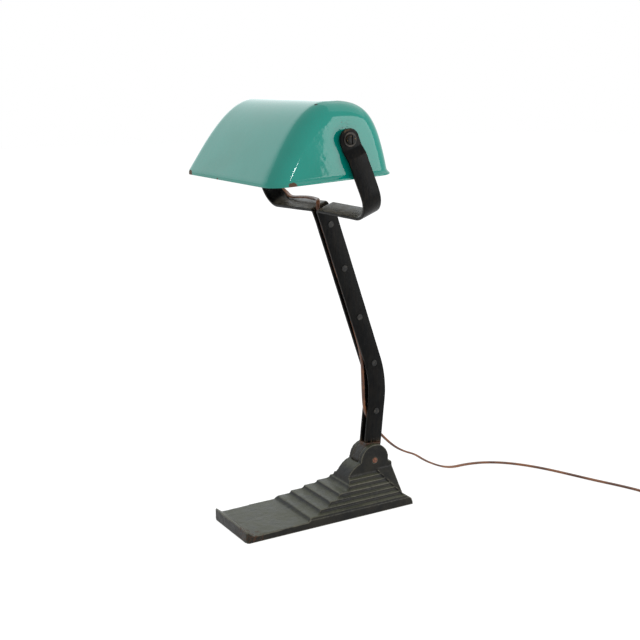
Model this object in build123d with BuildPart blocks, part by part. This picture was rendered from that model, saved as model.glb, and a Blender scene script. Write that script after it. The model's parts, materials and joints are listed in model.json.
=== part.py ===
"""Desk lamp of the bankers type, in millimetres.

A stepped cast-iron foot with a pen tray in front carries a clevis hinge. Two flat steel bars
rise from the hinge knuckle, fold outwards at the top and form a yoke. The yoke holds an
enamelled steel shade that tilts about a screw on the right and a hollow nipple on the left.
The lamp holder hangs on that nipple, inside the shade.

Frame: X is left to right, -Y is the front (the tray), +Z is up. The origin is the middle of
the foot's underside.
"""

import math
import os

from build123d import *

os.makedirs("parts", exist_ok=True)

# ---------------------------------------------------------------- driving dimensions
# Foot: tray and front lip
base_width = 74.0
base_corner_radius = 3.5
tray_length = 70.8
tray_front_height = 6.7
tray_back_height = 7.7
lip_height = 11.7
lip_top = 2.0
lip_slope = 6.5

# Foot: coved steps in front and coved mouldings on both sides
riser_run = 3.0
first_ridge_height = 11.2
plinth_side_height = 8.6
plinth_side_slope = 1.9
front_steps = 5
side_steps = 6
step_pitch = 14.0
step_rise = 4.45
step_inset = 3.8
tread_cove_radius = 6.5
side_cove_radius = 3.4
tower_gap = 19.7
plinth_back_depth = 10.5
plinth_back_height = 7.4
plinth_back_edge = 1.7

# Foot: clevis tower
pin_height = 48.0
ear_radius = 17.5
ear_thickness = 5.7
shoulder_depth = 5.0
shoulder_drop = 4.0
shoulder_radius = 2.6
tower_cove_radius = 26.0
tower_foot_ledge = 1.7
plinth_back_top = 13.2
plinth_back_edge_height = 3.0
buttress_run = 19.5
buttress_rise = 24.8
buttress_foot = 0.9

# Hinge
knuckle_width = 12.2
knuckle_side_clearance = 0.2
knuckle_radius = 17.3
knuckle_clearance = 0.7
neck_height = 18.0
tongue_width = 10.0
tongue_height = 29.5
hinge_screw_diameter = 6.0
hinge_head_diameter = 11.0
hinge_head_height = 3.2
hinge_screw_stand = 0.5
hinge_washer_thickness = 1.2
hinge_washer_diameter = 11.6
running_clearance = 0.05
bolt_clearance = 0.15

# Arm bars and yoke
bar_width = 20.0
bar_thickness = 3.0
bar_gap = 6.0
lower_lean = 5.3
upper_lean = 19.7
yoke_lean = 21.5
lower_length = 87.6
upper_length = 200.0
arm_bend_radius = 105.0
yoke_straight = 14.0
yoke_bend_radius = 60.0
fold_start = 5.0
left_ledge_droop = 2.5
right_ledge_droop = 0.0
ledge_reach = 98.4
left_corner_radius = 18.0
right_corner_radius = 24.0
fold_radius = 2.6
strap_bow_height = 26.0
strap_bow_radius = 30.0
straight_between_bends = 0.5
strap_shoulder_height = 58.0
strap_shoulder_reach = 96.8
joggle_height = 66.5
strap_tip_reach = 92.9
strap_corner_radius = 4.0
pivot_height = 75.2
strap_tip_flat = 0.2

# Rivets and spacers of the arm, as distances along the bars
rivets_above_bend = (180.0, 131.0, 75.0, 20.0)
rivet_above_pin = 53.0
tongue_rivet_above_pin = 24.0
rivet_diameter = 4.0
rivet_head_diameter = 6.8
rivet_head_height = 0.9
rivet_head_roundness = 0.8
spacer_diameter = 8.0

# Shade: profile in its own frame (s towards the back, h up from the rim plane); its half width,
# front and back are those at the top of its flare
shade_tilt = 3.4
shade_half_width = 92.6
shade_end_draft = 7.8
shade_front = 62.7
shade_back = 65.5
shade_apex = 9.9
shade_height = 70.0
shade_front_pull = (19.4, 33.0)
shade_front_crown = 30.1
shade_back_crown = 40.0
shade_back_pull = (-5.0, 58.4)
shade_edge_radius = 16.0
shade_sheet = 1.2
flare_height = 5.2
flare_width = 2.9
front_flare_width = 0.8
rim_edge_height = 1.3
pivot_from_middle = 18.3
pivot_above_rim = 35.8

# Pivot hardware
pivot_screw_diameter = 6.0
pivot_head_diameter = 9.6
pivot_head_height = 3.0
washer_thickness = 0.9
pivot_washer_diameter = 13.0
fibre_washer_diameter = 16.0
screw_head_roundness = 0.6
thread_stand = 1.6
pivot_nut_across = 10.0
pivot_nut_height = 5.0
slot_width = 1.2
slot_depth = 1.4

# Nipple and lamp holder
nipple_diameter = 10.0
nipple_bore = 6.0
nipple_grip = 8.0
nipple_approach = 4.4
locknut_across = 14.0
locknut_height = 3.0
holder_washer_diameter = 19.0
cap_length = 16.0
cap_neck_diameter = 15.0
cap_neck_length = 5.0
cap_skirt_length = 3.0
holder_diameter = 37.0
holder_length = 33.0
holder_wall = 1.6
holder_seat = 1.5
ring_diameter = 42.0
ring_length = 9.0
insert_length = 11.0
screw_shell_diameter = 27.4
screw_shell_wall = 0.4
screw_shell_length = 22.0
contact_diameter = 8.0
contact_thickness = 1.5
ring_setback = 2.0
key_diameter = 5.0
key_turn = 45.0
key_shaft_length = 13.0
key_blade_length = 9.0
key_blade_width = 15.0
key_blade_thickness = 3.4
key_blade_roundness = 0.45
key_socket_depth = 3.0
terminal_screw_diameter = 4.0
terminal_screw_height = 2.2
terminal_spacing = 18.0

# Bulb
bulb_diameter = 55.0
bulb_length = 98.0
bulb_cap_diameter = 26.2
bulb_cap_length = 22.0
bulb_neck_diameter = 24.0
bulb_glass_wall = 0.8
bulb_neck_turn = 130.0
bulb_flow_length = 9.0
bulb_tip_diameter = 9.0
bulb_tip_height = 2.4

# Mains flex: a flat twin flex, kept as a round tube of its mean diameter
flex_diameter = 3.0
flex_floor_height = 1.7
coil_edge_radius = 2.0
coil_entry = -75.0
coil_turns_diameter = 44.0
coil_bundle_width = 14.8
coil_height = 10.4
coil_place = (158.0, 367.0)
coil_tie_width = 6.0
coil_tie_thickness = 0.9
coil_tie_turn = -30.0
plug_heading = 150.0
plug_length = 36.0
plug_width = 26.0
plug_thickness = 13.6
plug_corner_radius = 4.0
plug_taper_length = 15.0
plug_neck_width = 13.0
plug_neck_thickness = 10.0
plug_relief_length = 24.0
plug_relief_diameter = 8.0
plug_relief_tip = 4.8
plug_pin_diameter = 4.0
plug_pin_length = 19.0
plug_pin_spacing = 18.6

# ---------------------------------------------------------------- places worked out
last_ridge_run = (front_steps - 1) * step_pitch
ear_back_depth = ear_radius + shoulder_depth
base_length = (
    tray_length + riser_run + last_ridge_run + tower_gap + ear_radius + ear_back_depth + plinth_back_depth
)
base_front = -base_length / 2
base_back = base_length / 2
tray_end = base_front + tray_length
first_ridge_y = tray_end + riser_run
last_ridge_y = first_ridge_y + last_ridge_run
last_ridge_height = first_ridge_height + (front_steps - 1) * step_rise
top_moulding_height = first_ridge_height + (side_steps - 1) * step_rise
first_ridge_half = base_width / 2 - plinth_side_slope
top_moulding_half = first_ridge_half - (side_steps - 1) * step_inset
tower_front_y = last_ridge_y + tower_gap
pin_y = tower_front_y + ear_radius
tower_back_y = pin_y + ear_back_depth
tower_half = knuckle_width / 2 + knuckle_side_clearance + ear_thickness
slot_half = knuckle_width / 2 + knuckle_side_clearance
slot_radius = knuckle_radius + knuckle_clearance
shoulder_height = pin_height - shoulder_drop


def along(lean, y, z, distance):
    """The point that far from (y, z) up a line that leans towards the back by lean degrees."""
    turn = math.radians(lean)
    return (y + distance * math.sin(turn), z + distance * math.cos(turn))


bend_y, bend_z = along(lower_lean, pin_y, pin_height, lower_length)
yoke_y, yoke_z = along(-upper_lean, bend_y, bend_z, upper_length)
pivot_y, pivot_z = along(-yoke_lean, yoke_y, yoke_z, pivot_height)
bar_inner_x = bar_gap / 2
bar_outer_x = bar_inner_x + bar_thickness

# The lower bar line: u towards the back across the bar, v up along it.
lower_plane = Plane(
    origin=(0, pin_y, pin_height),
    x_dir=(0, math.cos(math.radians(lower_lean)), -math.sin(math.radians(lower_lean))),
    z_dir=(1, 0, 0),
)
# The yoke: x outwards, y up along the straps. Its normal runs across the bar, to the front.
yoke_turn = math.radians(yoke_lean)
yoke_plane = Plane(
    origin=(0, yoke_y, yoke_z),
    x_dir=(1, 0, 0),
    z_dir=(0, -math.cos(yoke_turn), -math.sin(yoke_turn)),
)
# The shade: the origin is the middle of its rim plane.
shade_turn = math.radians(shade_tilt)
shade_y = pivot_y - pivot_from_middle * math.cos(shade_turn) + pivot_above_rim * math.sin(shade_turn)
shade_z = pivot_z - pivot_from_middle * math.sin(shade_turn) - pivot_above_rim * math.cos(shade_turn)
shade_up = (0, -math.sin(shade_turn), math.cos(shade_turn))
shade_back_dir = (0, math.cos(shade_turn), math.sin(shade_turn))
shade_plane = Plane(origin=(0, shade_y, shade_z), x_dir=(1, 0, 0), z_dir=shade_up)
shade_side_plane = Plane(origin=(0, shade_y, shade_z), x_dir=shade_back_dir, z_dir=(1, 0, 0))
shade_front_plane = Plane(
    origin=(0, shade_y, shade_z),
    x_dir=(1, 0, 0),
    z_dir=(0, -math.cos(shade_turn), -math.sin(shade_turn)),
)
end_draft_slope = math.tan(math.radians(shade_end_draft))


def panel_outside(height):
    """How far out the shade's end panels are at that height above its rim plane."""
    return shade_half_width - end_draft_slope * (height - flare_height)


def across(x):
    """A plane square to X, through the pivot axis, that far out."""
    return Plane(origin=(x, pivot_y, pivot_z), x_dir=shade_back_dir, z_dir=(1, 0, 0))


def across_pin(x):
    """A plane square to X, through the hinge pin's axis, that far out."""
    return Plane(origin=(x, pin_y, pin_height), x_dir=(0, 1, 0), z_dir=(1, 0, 0))


def save(name, solid):
    """Label a finished piece and write it as its own STEP file."""
    solid.label = name
    export_step(solid, f"parts/{name}.step")


def round_step(plane_at, start, end, diameter, mode=Mode.ADD):
    """Add or cut one round step of a turned piece, from start to end along its axis."""
    with BuildSketch(plane_at(start)) as outline:
        Circle(diameter / 2)
    extrude(outline.sketch, amount=end - start, mode=mode)


def arc_radii(points):
    """The radius of the arc at each corner of a flex's route, as large as its two runs allow."""
    radii = []
    for before, corner, after in zip(points, points[1:], points[2:]):
        run_in = Vector(*corner) - Vector(*before)
        run_out = Vector(*after) - Vector(*corner)
        shorter = min(run_in.length, run_out.length)
        half_turn = math.radians(run_in.get_angle(run_out)) / 2
        radii.append(0.45 * shorter / math.tan(half_turn))
    return radii


def flex_tube(name, points):
    """Sweep the flex along its route inside the current part, and print its tightest bends."""
    radii = arc_radii(points)
    with BuildLine() as route:
        FilletPolyline(*points, radius=radii)
    path = route.wires()[0]
    with BuildSketch(Plane(origin=path @ 0, z_dir=path % 0)) as section:
        Circle(flex_diameter / 2)
    sweep(sections=section.sketch, path=path)
    print(name, "length", round(path.length, 1), "radii", [round(radius, 1) for radius in radii])


# ---------------------------------------------------------------- foot
cove_run = math.sqrt(2 * tread_cove_radius * step_rise - step_rise**2)
block_top = pin_height + ear_radius

# The foot seen from the side: treads with coves, the tower's front, its round ears, the back.
with BuildSketch(Plane.YZ) as stepped_outline:
    with BuildLine():
        Polyline(
            (base_back, plinth_back_edge_height),
            (base_back, 0),
            (tray_end, 0),
            (tray_end, tray_back_height),
            (first_ridge_y, first_ridge_height),
        )
        for step in range(front_steps - 1):
            ridge_y = first_ridge_y + step * step_pitch
            ridge_z = first_ridge_height + step * step_rise
            cove_start = (ridge_y + step_pitch - cove_run, ridge_z)
            Line((ridge_y, ridge_z), cove_start)
            TangentArc(cove_start, (ridge_y + step_pitch, ridge_z + step_rise), tangent=(1, 0))
        tower_foot = (last_ridge_y + tower_foot_ledge, last_ridge_height)
        Line((last_ridge_y, last_ridge_height), tower_foot)
        RadiusArc(tower_foot, (tower_front_y, pin_height), tower_cove_radius)
        ThreePointArc(
            (tower_front_y, pin_height),
            (pin_y, pin_height + ear_radius),
            (pin_y + ear_radius, pin_height),
        )
        shoulder_end = (tower_back_y - shoulder_radius, shoulder_height)
        Polyline((pin_y + ear_radius, pin_height), (pin_y + ear_radius, shoulder_height), shoulder_end)
        TangentArc(shoulder_end, (tower_back_y, shoulder_height - shoulder_radius), tangent=(1, 0))
        Polyline(
            (tower_back_y, shoulder_height - shoulder_radius),
            (tower_back_y, plinth_back_top),
            (base_back - plinth_back_edge, plinth_back_height),
            (base_back, plinth_back_edge_height),
        )
    make_face()

# The coved mouldings of the sides, seen from the front.
with BuildSketch(Plane.XZ) as moulded_outline:
    with BuildLine():
        Polyline(
            (0, 0),
            (base_width / 2, 0),
            (base_width / 2, plinth_side_height),
            (first_ridge_half, first_ridge_height),
        )
        for moulding in range(side_steps):
            ridge_x = first_ridge_half - moulding * step_inset
            ridge_z = first_ridge_height + moulding * step_rise
            is_last = moulding == side_steps - 1
            wall_x = tower_half if is_last else ridge_x - step_inset
            wall_top = block_top if is_last else ridge_z + step_rise
            cove_start = (wall_x + side_cove_radius, ridge_z)
            cove_end = (wall_x, ridge_z + side_cove_radius)
            Line((ridge_x, ridge_z), cove_start)
            TangentArc(cove_start, cove_end, tangent=(-1, 0))
            Line(cove_end, (wall_x, wall_top))
        Polyline((tower_half, block_top), (0, block_top), (0, 0))
    make_face()
    mirror(about=Plane.YZ)

# Behind a slanting line the sides are plain: a buttress as wide as the mouldings' tips.
buttress_slope = step_inset / step_rise
buttress_top_z = top_moulding_height + (top_moulding_half - tower_half) / buttress_slope
with BuildSketch(Plane.XZ) as buttress_outline:
    with BuildLine():
        Polyline(
            (0, 0),
            (first_ridge_half, 0),
            (first_ridge_half, first_ridge_height),
            (tower_half, buttress_top_z),
            (tower_half, block_top),
            (0, block_top),
            close=True,
        )
    make_face()
    mirror(about=Plane.YZ)

with BuildSketch(Plane.YZ) as buttress_side:
    with BuildLine():
        Polyline(
            (tower_back_y, first_ridge_height + buttress_foot),
            (tower_back_y - buttress_run, first_ridge_height + buttress_rise),
            (tower_back_y - buttress_run, shoulder_height),
            (tower_back_y, shoulder_height),
            close=True,
        )
    make_face()

with BuildPart() as buttress:
    extrude(stepped_outline.sketch, amount=base_width / 2, both=True)
    extrude(buttress_outline.sketch, amount=base_length, both=True, mode=Mode.INTERSECT)
    extrude(buttress_side.sketch, amount=base_width / 2, both=True, mode=Mode.INTERSECT)

with BuildPart() as base_casting:
    extrude(stepped_outline.sketch, amount=base_width / 2, both=True)
    extrude(moulded_outline.sketch, amount=base_length, both=True, mode=Mode.INTERSECT)
    add(buttress.part)
    # The pen tray and its front lip
    with BuildSketch(Plane.YZ):
        with BuildLine():
            Polyline(
                (tray_end, 0),
                (base_front, 0),
                (base_front, lip_height),
                (base_front + lip_top, lip_height),
                (base_front + lip_top + lip_slope, tray_front_height),
                (tray_end, tray_back_height),
                close=True,
            )
        make_face()
    extrude(amount=base_width / 2, both=True)
    fillet(base_casting.edges().filter_by(Axis.Z).group_by(Axis.Y)[0], radius=base_corner_radius)
    # The slot between the ears
    with BuildSketch(Plane.YZ):
        with Locations((pin_y, pin_height)):
            Circle(slot_radius)
        with Locations((pin_y, pin_height + ear_radius)):
            Rectangle(2 * slot_radius, 2 * ear_radius)
    extrude(amount=slot_half, both=True, mode=Mode.SUBTRACT)
    # The screw passes the left ear with clearance and is threaded into the right one
    round_step(across_pin, -tower_half, 0, hinge_screw_diameter + 2 * bolt_clearance, mode=Mode.SUBTRACT)
    round_step(across_pin, 0, tower_half, hinge_screw_diameter, mode=Mode.SUBTRACT)
save("base_casting", base_casting.part)

# ---------------------------------------------------------------- hinge
with BuildPart() as hinge_spring_washer:
    washer_end = -tower_half - hinge_washer_thickness
    washer_bore = hinge_screw_diameter + 2 * bolt_clearance
    round_step(across_pin, -tower_half, washer_end, hinge_washer_diameter)
    round_step(across_pin, -tower_half, washer_end, washer_bore, mode=Mode.SUBTRACT)
save("hinge_spring_washer", hinge_spring_washer.part)

with BuildPart() as hinge_screw:
    round_step(across_pin, washer_end, tower_half + hinge_screw_stand, hinge_screw_diameter)
    round_step(across_pin, washer_end, washer_end - hinge_head_height, hinge_head_diameter)
    with BuildSketch(across_pin(washer_end - hinge_head_height)):
        Rectangle(hinge_head_diameter, slot_width)
    extrude(amount=slot_depth, mode=Mode.SUBTRACT)
    end_edge = hinge_screw.edges().filter_by(GeomType.CIRCLE).sort_by(Axis.X)[-1]
    chamfer(end_edge, length=hinge_screw_stand / 2)
save("hinge_screw", hinge_screw.part)

with BuildPart() as hinge_knuckle:
    with BuildSketch(lower_plane):
        Circle(knuckle_radius)
        with Locations((0, neck_height / 2)):
            Rectangle(bar_width, neck_height)
    extrude(amount=knuckle_width / 2, both=True)
    with BuildSketch(lower_plane):
        with Locations((0, (neck_height + tongue_height) / 2)):
            Rectangle(tongue_width, tongue_height - neck_height)
        with Locations((0, tongue_rivet_above_pin)):
            Circle(rivet_diameter / 2, mode=Mode.SUBTRACT)
    extrude(amount=bar_gap / 2, both=True)
    round_step(
        across_pin,
        -knuckle_width / 2,
        knuckle_width / 2,
        hinge_screw_diameter + 2 * running_clearance,
        mode=Mode.SUBTRACT,
    )
save("hinge_knuckle", hinge_knuckle.part)

# ---------------------------------------------------------------- arm bars and yoke
bar_start_y, bar_start_z = along(lower_lean, pin_y, pin_height, neck_height)
straight_y, straight_z = along(-yoke_lean, yoke_y, yoke_z, -yoke_straight)
fold_y, fold_z = along(-yoke_lean, yoke_y, yoke_z, -fold_start)
yoke_up = Axis((0, yoke_y, yoke_z), (0, -math.sin(yoke_turn), math.cos(yoke_turn)))
bar_middle_x = (bar_inner_x + bar_outer_x) / 2
bow_turn = math.atan2(abs(ledge_reach - strap_shoulder_reach), strap_shoulder_height - strap_bow_height)
bow_length = strap_bow_radius * math.tan(bow_turn / 2)

rivet_places = [along(-upper_lean, bend_y, bend_z, distance) for distance in rivets_above_bend]
rivet_places.append(along(lower_lean, pin_y, pin_height, rivet_above_pin))
tongue_rivet_y, tongue_rivet_z = along(lower_lean, pin_y, pin_height, tongue_rivet_above_pin)


def across_bars(place):
    """A function that gives the plane square to X, through that place, at any x."""
    return lambda x: Plane(origin=(x, *place), x_dir=(0, 1, 0), z_dir=(1, 0, 0))


def flat_bar(pivot_bore, ledge_droop, corner_radius):
    """A bar on the right-hand side: up the arm, out along the ledge and up the strap."""
    ledge_drop = (ledge_reach - bar_middle_x) * math.tan(math.radians(ledge_droop))
    # The ledge's corner ends below the bow of the strap
    corner_room = strap_bow_height + bar_thickness / 2 + ledge_drop - bow_length - straight_between_bends
    corner_limit = corner_room / math.tan(math.radians((90 + ledge_droop) / 2))
    with BuildPart() as bar:
        with BuildSketch(Plane.YZ.offset(bar_inner_x)):
            with BuildLine():
                FilletPolyline(
                    (bar_start_y, bar_start_z),
                    (bend_y, bend_z),
                    (straight_y, straight_z),
                    (fold_y, fold_z),
                    radius=[arm_bend_radius, yoke_bend_radius],
                )
            trace(line_width=bar_width)
        extrude(amount=bar_thickness)
        with BuildSketch(yoke_plane):
            with BuildLine():
                FilletPolyline(
                    (bar_middle_x, -fold_start),
                    (bar_middle_x, -bar_thickness / 2),
                    (ledge_reach, -bar_thickness / 2 - ledge_drop),
                    (ledge_reach, strap_bow_height),
                    (strap_shoulder_reach, strap_shoulder_height),
                    (strap_tip_reach, joggle_height),
                    (strap_tip_reach, pivot_height + bar_width / 2),
                    radius=[
                        fold_radius,
                        min(corner_radius, corner_limit),
                        strap_bow_radius,
                        strap_corner_radius,
                        strap_corner_radius,
                    ],
                )
            trace(line_width=bar_thickness)
        extrude(amount=bar_width / 2, both=True)
        tip_corners = bar.edges().filter_by(Axis.X).sort_by(yoke_up)[-2:]
        fillet(tip_corners, radius=(bar_width - strap_tip_flat) / 2)
        round_step(across, 0, ledge_reach + bar_width, pivot_bore, mode=Mode.SUBTRACT)
        for place in rivet_places + [(tongue_rivet_y, tongue_rivet_z)]:
            round_step(across_bars(place), 0, 2 * bar_outer_x, rivet_diameter, mode=Mode.SUBTRACT)
    return bar.part


with BuildPart() as arm_bar_right:
    add(flat_bar(pivot_screw_diameter + 2 * running_clearance, right_ledge_droop, right_corner_radius))
save("arm_bar_right", arm_bar_right.part)

with BuildPart() as arm_bar_left:
    left_bar = flat_bar(nipple_diameter + 2 * running_clearance, left_ledge_droop, left_corner_radius)
    mirror(left_bar, about=Plane.YZ)
save("arm_bar_left", arm_bar_left.part)

with BuildPart() as arm_rivets:
    for place in rivet_places:
        across_rivet = across_bars(place)
        round_step(across_rivet, -bar_outer_x, bar_outer_x, rivet_diameter)
        for side in (-1, 1):
            head_end = side * (bar_outer_x + rivet_head_height)
            round_step(across_rivet, side * bar_outer_x, head_end, rivet_head_diameter)
    rivet_ends = arm_rivets.edges().filter_by(GeomType.CIRCLE).group_by(Axis.X)
    fillet(rivet_ends[0] + rivet_ends[-1], radius=rivet_head_height * rivet_head_roundness)
    # The tongue's rivet is filed flush with the bars
    round_step(across_bars((tongue_rivet_y, tongue_rivet_z)), -bar_outer_x, bar_outer_x, rivet_diameter)
save("arm_rivets", arm_rivets.part)

with BuildPart() as arm_spacers:
    for place in rivet_places:
        across_spacer = across_bars(place)
        round_step(across_spacer, -bar_inner_x, bar_inner_x, spacer_diameter)
        spacer_bore = rivet_diameter + 2 * bolt_clearance
        round_step(across_spacer, -bar_inner_x, bar_inner_x, spacer_bore, mode=Mode.SUBTRACT)
save("arm_spacers", arm_spacers.part)

# ---------------------------------------------------------------- shade

def shade_form(inset, bottom):
    """The closed form of the shade, inset from its outside: a rounded body, then the flare
    round its mouth down to the rolled edge, which goes on down to the height bottom."""
    front_start = (-shade_front + inset, flare_height)
    apex = (shade_apex, shade_height - inset)
    back_start = (shade_back - inset, flare_height)
    with BuildPart() as form:
        with BuildSketch(shade_side_plane):
            with BuildLine():
                Bezier(
                    front_start,
                    (-shade_front + inset + shade_front_pull[0], shade_front_pull[1]),
                    (shade_apex - shade_front_crown, shade_height - inset),
                    apex,
                )
                Bezier(
                    apex,
                    (shade_apex + shade_back_crown, shade_height - inset),
                    (shade_back - inset + shade_back_pull[0], shade_back_pull[1]),
                    back_start,
                )
                Line(back_start, front_start)
            make_face()
        extrude(amount=shade_half_width, both=True)
        # Both end panels lean inwards
        with BuildSketch(shade_front_plane):
            with BuildLine():
                foot_half = panel_outside(flare_height) - inset
                top_half = panel_outside(shade_height) - inset
                Polyline(
                    (-foot_half, flare_height),
                    (foot_half, flare_height),
                    (top_half, shade_height),
                    (-top_half, shade_height),
                    close=True,
                )
            make_face()
        extrude(amount=shade_front + shade_back, both=True, mode=Mode.INTERSECT)
        ends = form.faces().sort_by(Axis.X)
        mouth = form.faces().sort_by(Axis((0, 0, 0), shade_up))[0]
        end_edges = (ends[0].edges() + ends[-1].edges()) - mouth.edges()
        fillet(end_edges, radius=shade_edge_radius - inset)
        mouth = form.faces().sort_by(Axis((0, 0, 0), shade_up))[0]
        rim_front = shade_front + front_flare_width - inset
        rim_back = shade_back + flare_width - inset
        with BuildSketch(shade_plane.offset(rim_edge_height)) as rim:
            with Locations((0, (rim_back - rim_front) / 2)):
                RectangleRounded(
                    2 * (shade_half_width + flare_width - inset),
                    rim_front + rim_back,
                    shade_edge_radius + flare_width - inset,
                )
        loft(sections=[mouth, rim.sketch.face()], ruled=True)
        rolled_edge = form.faces().sort_by(Axis((0, 0, 0), shade_up))[0]
        extrude(rolled_edge, amount=rim_edge_height - bottom)
    return form.part


with BuildPart() as shade_shell:
    add(shade_form(0, 0))
    add(shade_form(shade_sheet, -shade_sheet), mode=Mode.SUBTRACT)
    pivot_hole = pivot_screw_diameter + 2 * bolt_clearance
    nipple_hole = nipple_diameter + 2 * bolt_clearance
    round_step(across, 0, shade_half_width, pivot_hole, mode=Mode.SUBTRACT)
    round_step(across, 0, -shade_half_width, nipple_hole, mode=Mode.SUBTRACT)
save("shade_shell", shade_shell.part)

# ---------------------------------------------------------------- right-hand pivot
strap_inner_x = strap_tip_reach - bar_thickness / 2
strap_outer_x = strap_tip_reach + bar_thickness / 2
panel_outer_x = panel_outside(pivot_above_rim - fibre_washer_diameter / 2)
panel_sheet_x = shade_sheet / math.cos(math.radians(shade_end_draft))


def panel_inner_x(washer_diameter):
    """Where a washer of that size touches the end panel's leaning inside, at its upper edge."""
    upper_edge = pivot_above_rim + washer_diameter / 2
    return panel_outside(upper_edge) - panel_sheet_x


right_washer_x = panel_inner_x(pivot_washer_diameter)
right_nut_x = right_washer_x - washer_thickness
screw_end_x = right_nut_x - pivot_nut_height - thread_stand
head_seat_x = strap_outer_x + washer_thickness
head_end_x = head_seat_x + pivot_head_height

with BuildPart() as pivot_fibre_washers:
    round_step(across, panel_outer_x, strap_inner_x, fibre_washer_diameter)
    round_step(across, panel_outer_x, strap_inner_x, pivot_hole, mode=Mode.SUBTRACT)
    round_step(across, -panel_outer_x, -strap_inner_x, fibre_washer_diameter)
    round_step(across, -panel_outer_x, -strap_inner_x, nipple_hole, mode=Mode.SUBTRACT)
save("pivot_fibre_washers", pivot_fibre_washers.part)

with BuildPart() as pivot_screw_washer:
    round_step(across, strap_outer_x, head_seat_x, pivot_washer_diameter)
    round_step(across, strap_outer_x, head_seat_x, pivot_hole, mode=Mode.SUBTRACT)
save("pivot_screw_washer", pivot_screw_washer.part)

with BuildPart() as pivot_screw:
    round_step(across, screw_end_x, head_seat_x, pivot_screw_diameter)
    round_step(across, head_seat_x, head_end_x, pivot_head_diameter)
    head_rim = pivot_screw.edges().filter_by(GeomType.CIRCLE).sort_by(Axis.X)[-1]
    fillet(head_rim, radius=pivot_head_height * screw_head_roundness)
    with BuildSketch(across(head_end_x)):
        Rectangle(slot_width, pivot_head_diameter)
    extrude(amount=-slot_depth, mode=Mode.SUBTRACT)
save("pivot_screw", pivot_screw.part)

with BuildPart() as pivot_lock_washer:
    round_step(across, right_nut_x, right_washer_x, pivot_washer_diameter)
    round_step(across, right_nut_x, right_washer_x, pivot_hole, mode=Mode.SUBTRACT)
save("pivot_lock_washer", pivot_lock_washer.part)

with BuildPart() as pivot_nut:
    with BuildSketch(across(right_nut_x)):
        RegularPolygon(pivot_nut_across / 2, 6, major_radius=False)
        Circle(pivot_screw_diameter / 2, mode=Mode.SUBTRACT)
    extrude(amount=-pivot_nut_height)
save("pivot_nut", pivot_nut.part)

# ---------------------------------------------------------------- left-hand pivot: the nipple
left_lock_x = -strap_outer_x - washer_thickness
nipple_outer_x = left_lock_x - locknut_height - thread_stand
holder_washer_x = -panel_inner_x(holder_washer_diameter)
holder_start_x = holder_washer_x + washer_thickness
nipple_inner_x = holder_start_x + nipple_grip

with BuildPart() as holder_nipple:
    round_step(across, nipple_outer_x, nipple_inner_x, nipple_diameter)
    round_step(across, nipple_outer_x, nipple_inner_x, nipple_bore, mode=Mode.SUBTRACT)
save("holder_nipple", holder_nipple.part)

with BuildPart() as nipple_washer:
    round_step(across, left_lock_x, -strap_outer_x, fibre_washer_diameter)
    round_step(across, left_lock_x, -strap_outer_x, nipple_diameter, mode=Mode.SUBTRACT)
save("nipple_washer", nipple_washer.part)

with BuildPart() as nipple_locknut:
    with BuildSketch(across(left_lock_x)):
        RegularPolygon(locknut_across / 2, 6, major_radius=False)
        Circle(nipple_diameter / 2, mode=Mode.SUBTRACT)
    extrude(amount=-locknut_height)
save("nipple_locknut", nipple_locknut.part)

with BuildPart() as holder_washer:
    round_step(across, holder_washer_x, holder_start_x, holder_washer_diameter)
    round_step(across, holder_washer_x, holder_start_x, nipple_diameter, mode=Mode.SUBTRACT)
save("holder_washer", holder_washer.part)

# ---------------------------------------------------------------- lamp holder
cap_end_x = holder_start_x + cap_length
insert_end_x = cap_end_x + insert_length
holder_end_x = cap_end_x + holder_length
key_x = cap_end_x + insert_length / 2
holder_bore = holder_diameter - 2 * holder_wall
axis_plane = Plane(origin=(0, pivot_y, pivot_z), x_dir=(1, 0, 0), z_dir=shade_up)
pivot_axis = Axis((0, pivot_y, pivot_z), (1, 0, 0))

with BuildPart() as holder_cap:
    with BuildSketch(axis_plane):
        with BuildLine():
            Polyline(
                (holder_start_x, nipple_diameter / 2),
                (holder_start_x, cap_neck_diameter / 2),
                (holder_start_x + cap_neck_length, cap_neck_diameter / 2),
                (cap_end_x - cap_skirt_length, holder_diameter / 2),
                (cap_end_x, holder_diameter / 2),
                (cap_end_x, holder_bore / 2 - holder_seat),
                (cap_end_x - holder_seat, holder_bore / 2 - holder_seat),
                (nipple_inner_x + holder_wall, cap_neck_diameter / 2 - holder_wall),
                (nipple_inner_x, nipple_diameter / 2),
                close=True,
            )
        make_face()
    revolve(axis=pivot_axis)
save("holder_cap", holder_cap.part)


def across_key(distance):
    """The plane square to the key's axis, that far from the holder's axis."""
    turn = math.radians(key_turn) - shade_turn
    outwards = (0, -math.sin(turn), -math.cos(turn))
    return Plane(
        origin=(key_x, pivot_y + distance * outwards[1], pivot_z + distance * outwards[2]),
        x_dir=(1, 0, 0),
        z_dir=outwards,
    )


key_inner = holder_bore / 2 - key_socket_depth
key_bore = key_diameter + 2 * running_clearance

with BuildPart() as holder_body:
    round_step(across, cap_end_x, holder_end_x, holder_diameter)
    round_step(across, cap_end_x, holder_end_x, holder_bore, mode=Mode.SUBTRACT)
    round_step(across_key, 0, holder_diameter, key_bore, mode=Mode.SUBTRACT)
save("holder_body", holder_body.part)

with BuildPart() as holder_insert:
    round_step(across, cap_end_x, insert_end_x, holder_bore)
    round_step(across_key, key_inner, holder_diameter, key_bore, mode=Mode.SUBTRACT)
save("holder_insert", holder_insert.part)

with BuildPart() as holder_shell:
    shell_end_x = insert_end_x + screw_shell_length
    shell_bore = screw_shell_diameter - 2 * screw_shell_wall
    round_step(across, insert_end_x, shell_end_x, screw_shell_diameter)
    round_step(across, insert_end_x, shell_end_x, shell_bore, mode=Mode.SUBTRACT)
save("holder_shell", holder_shell.part)

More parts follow.
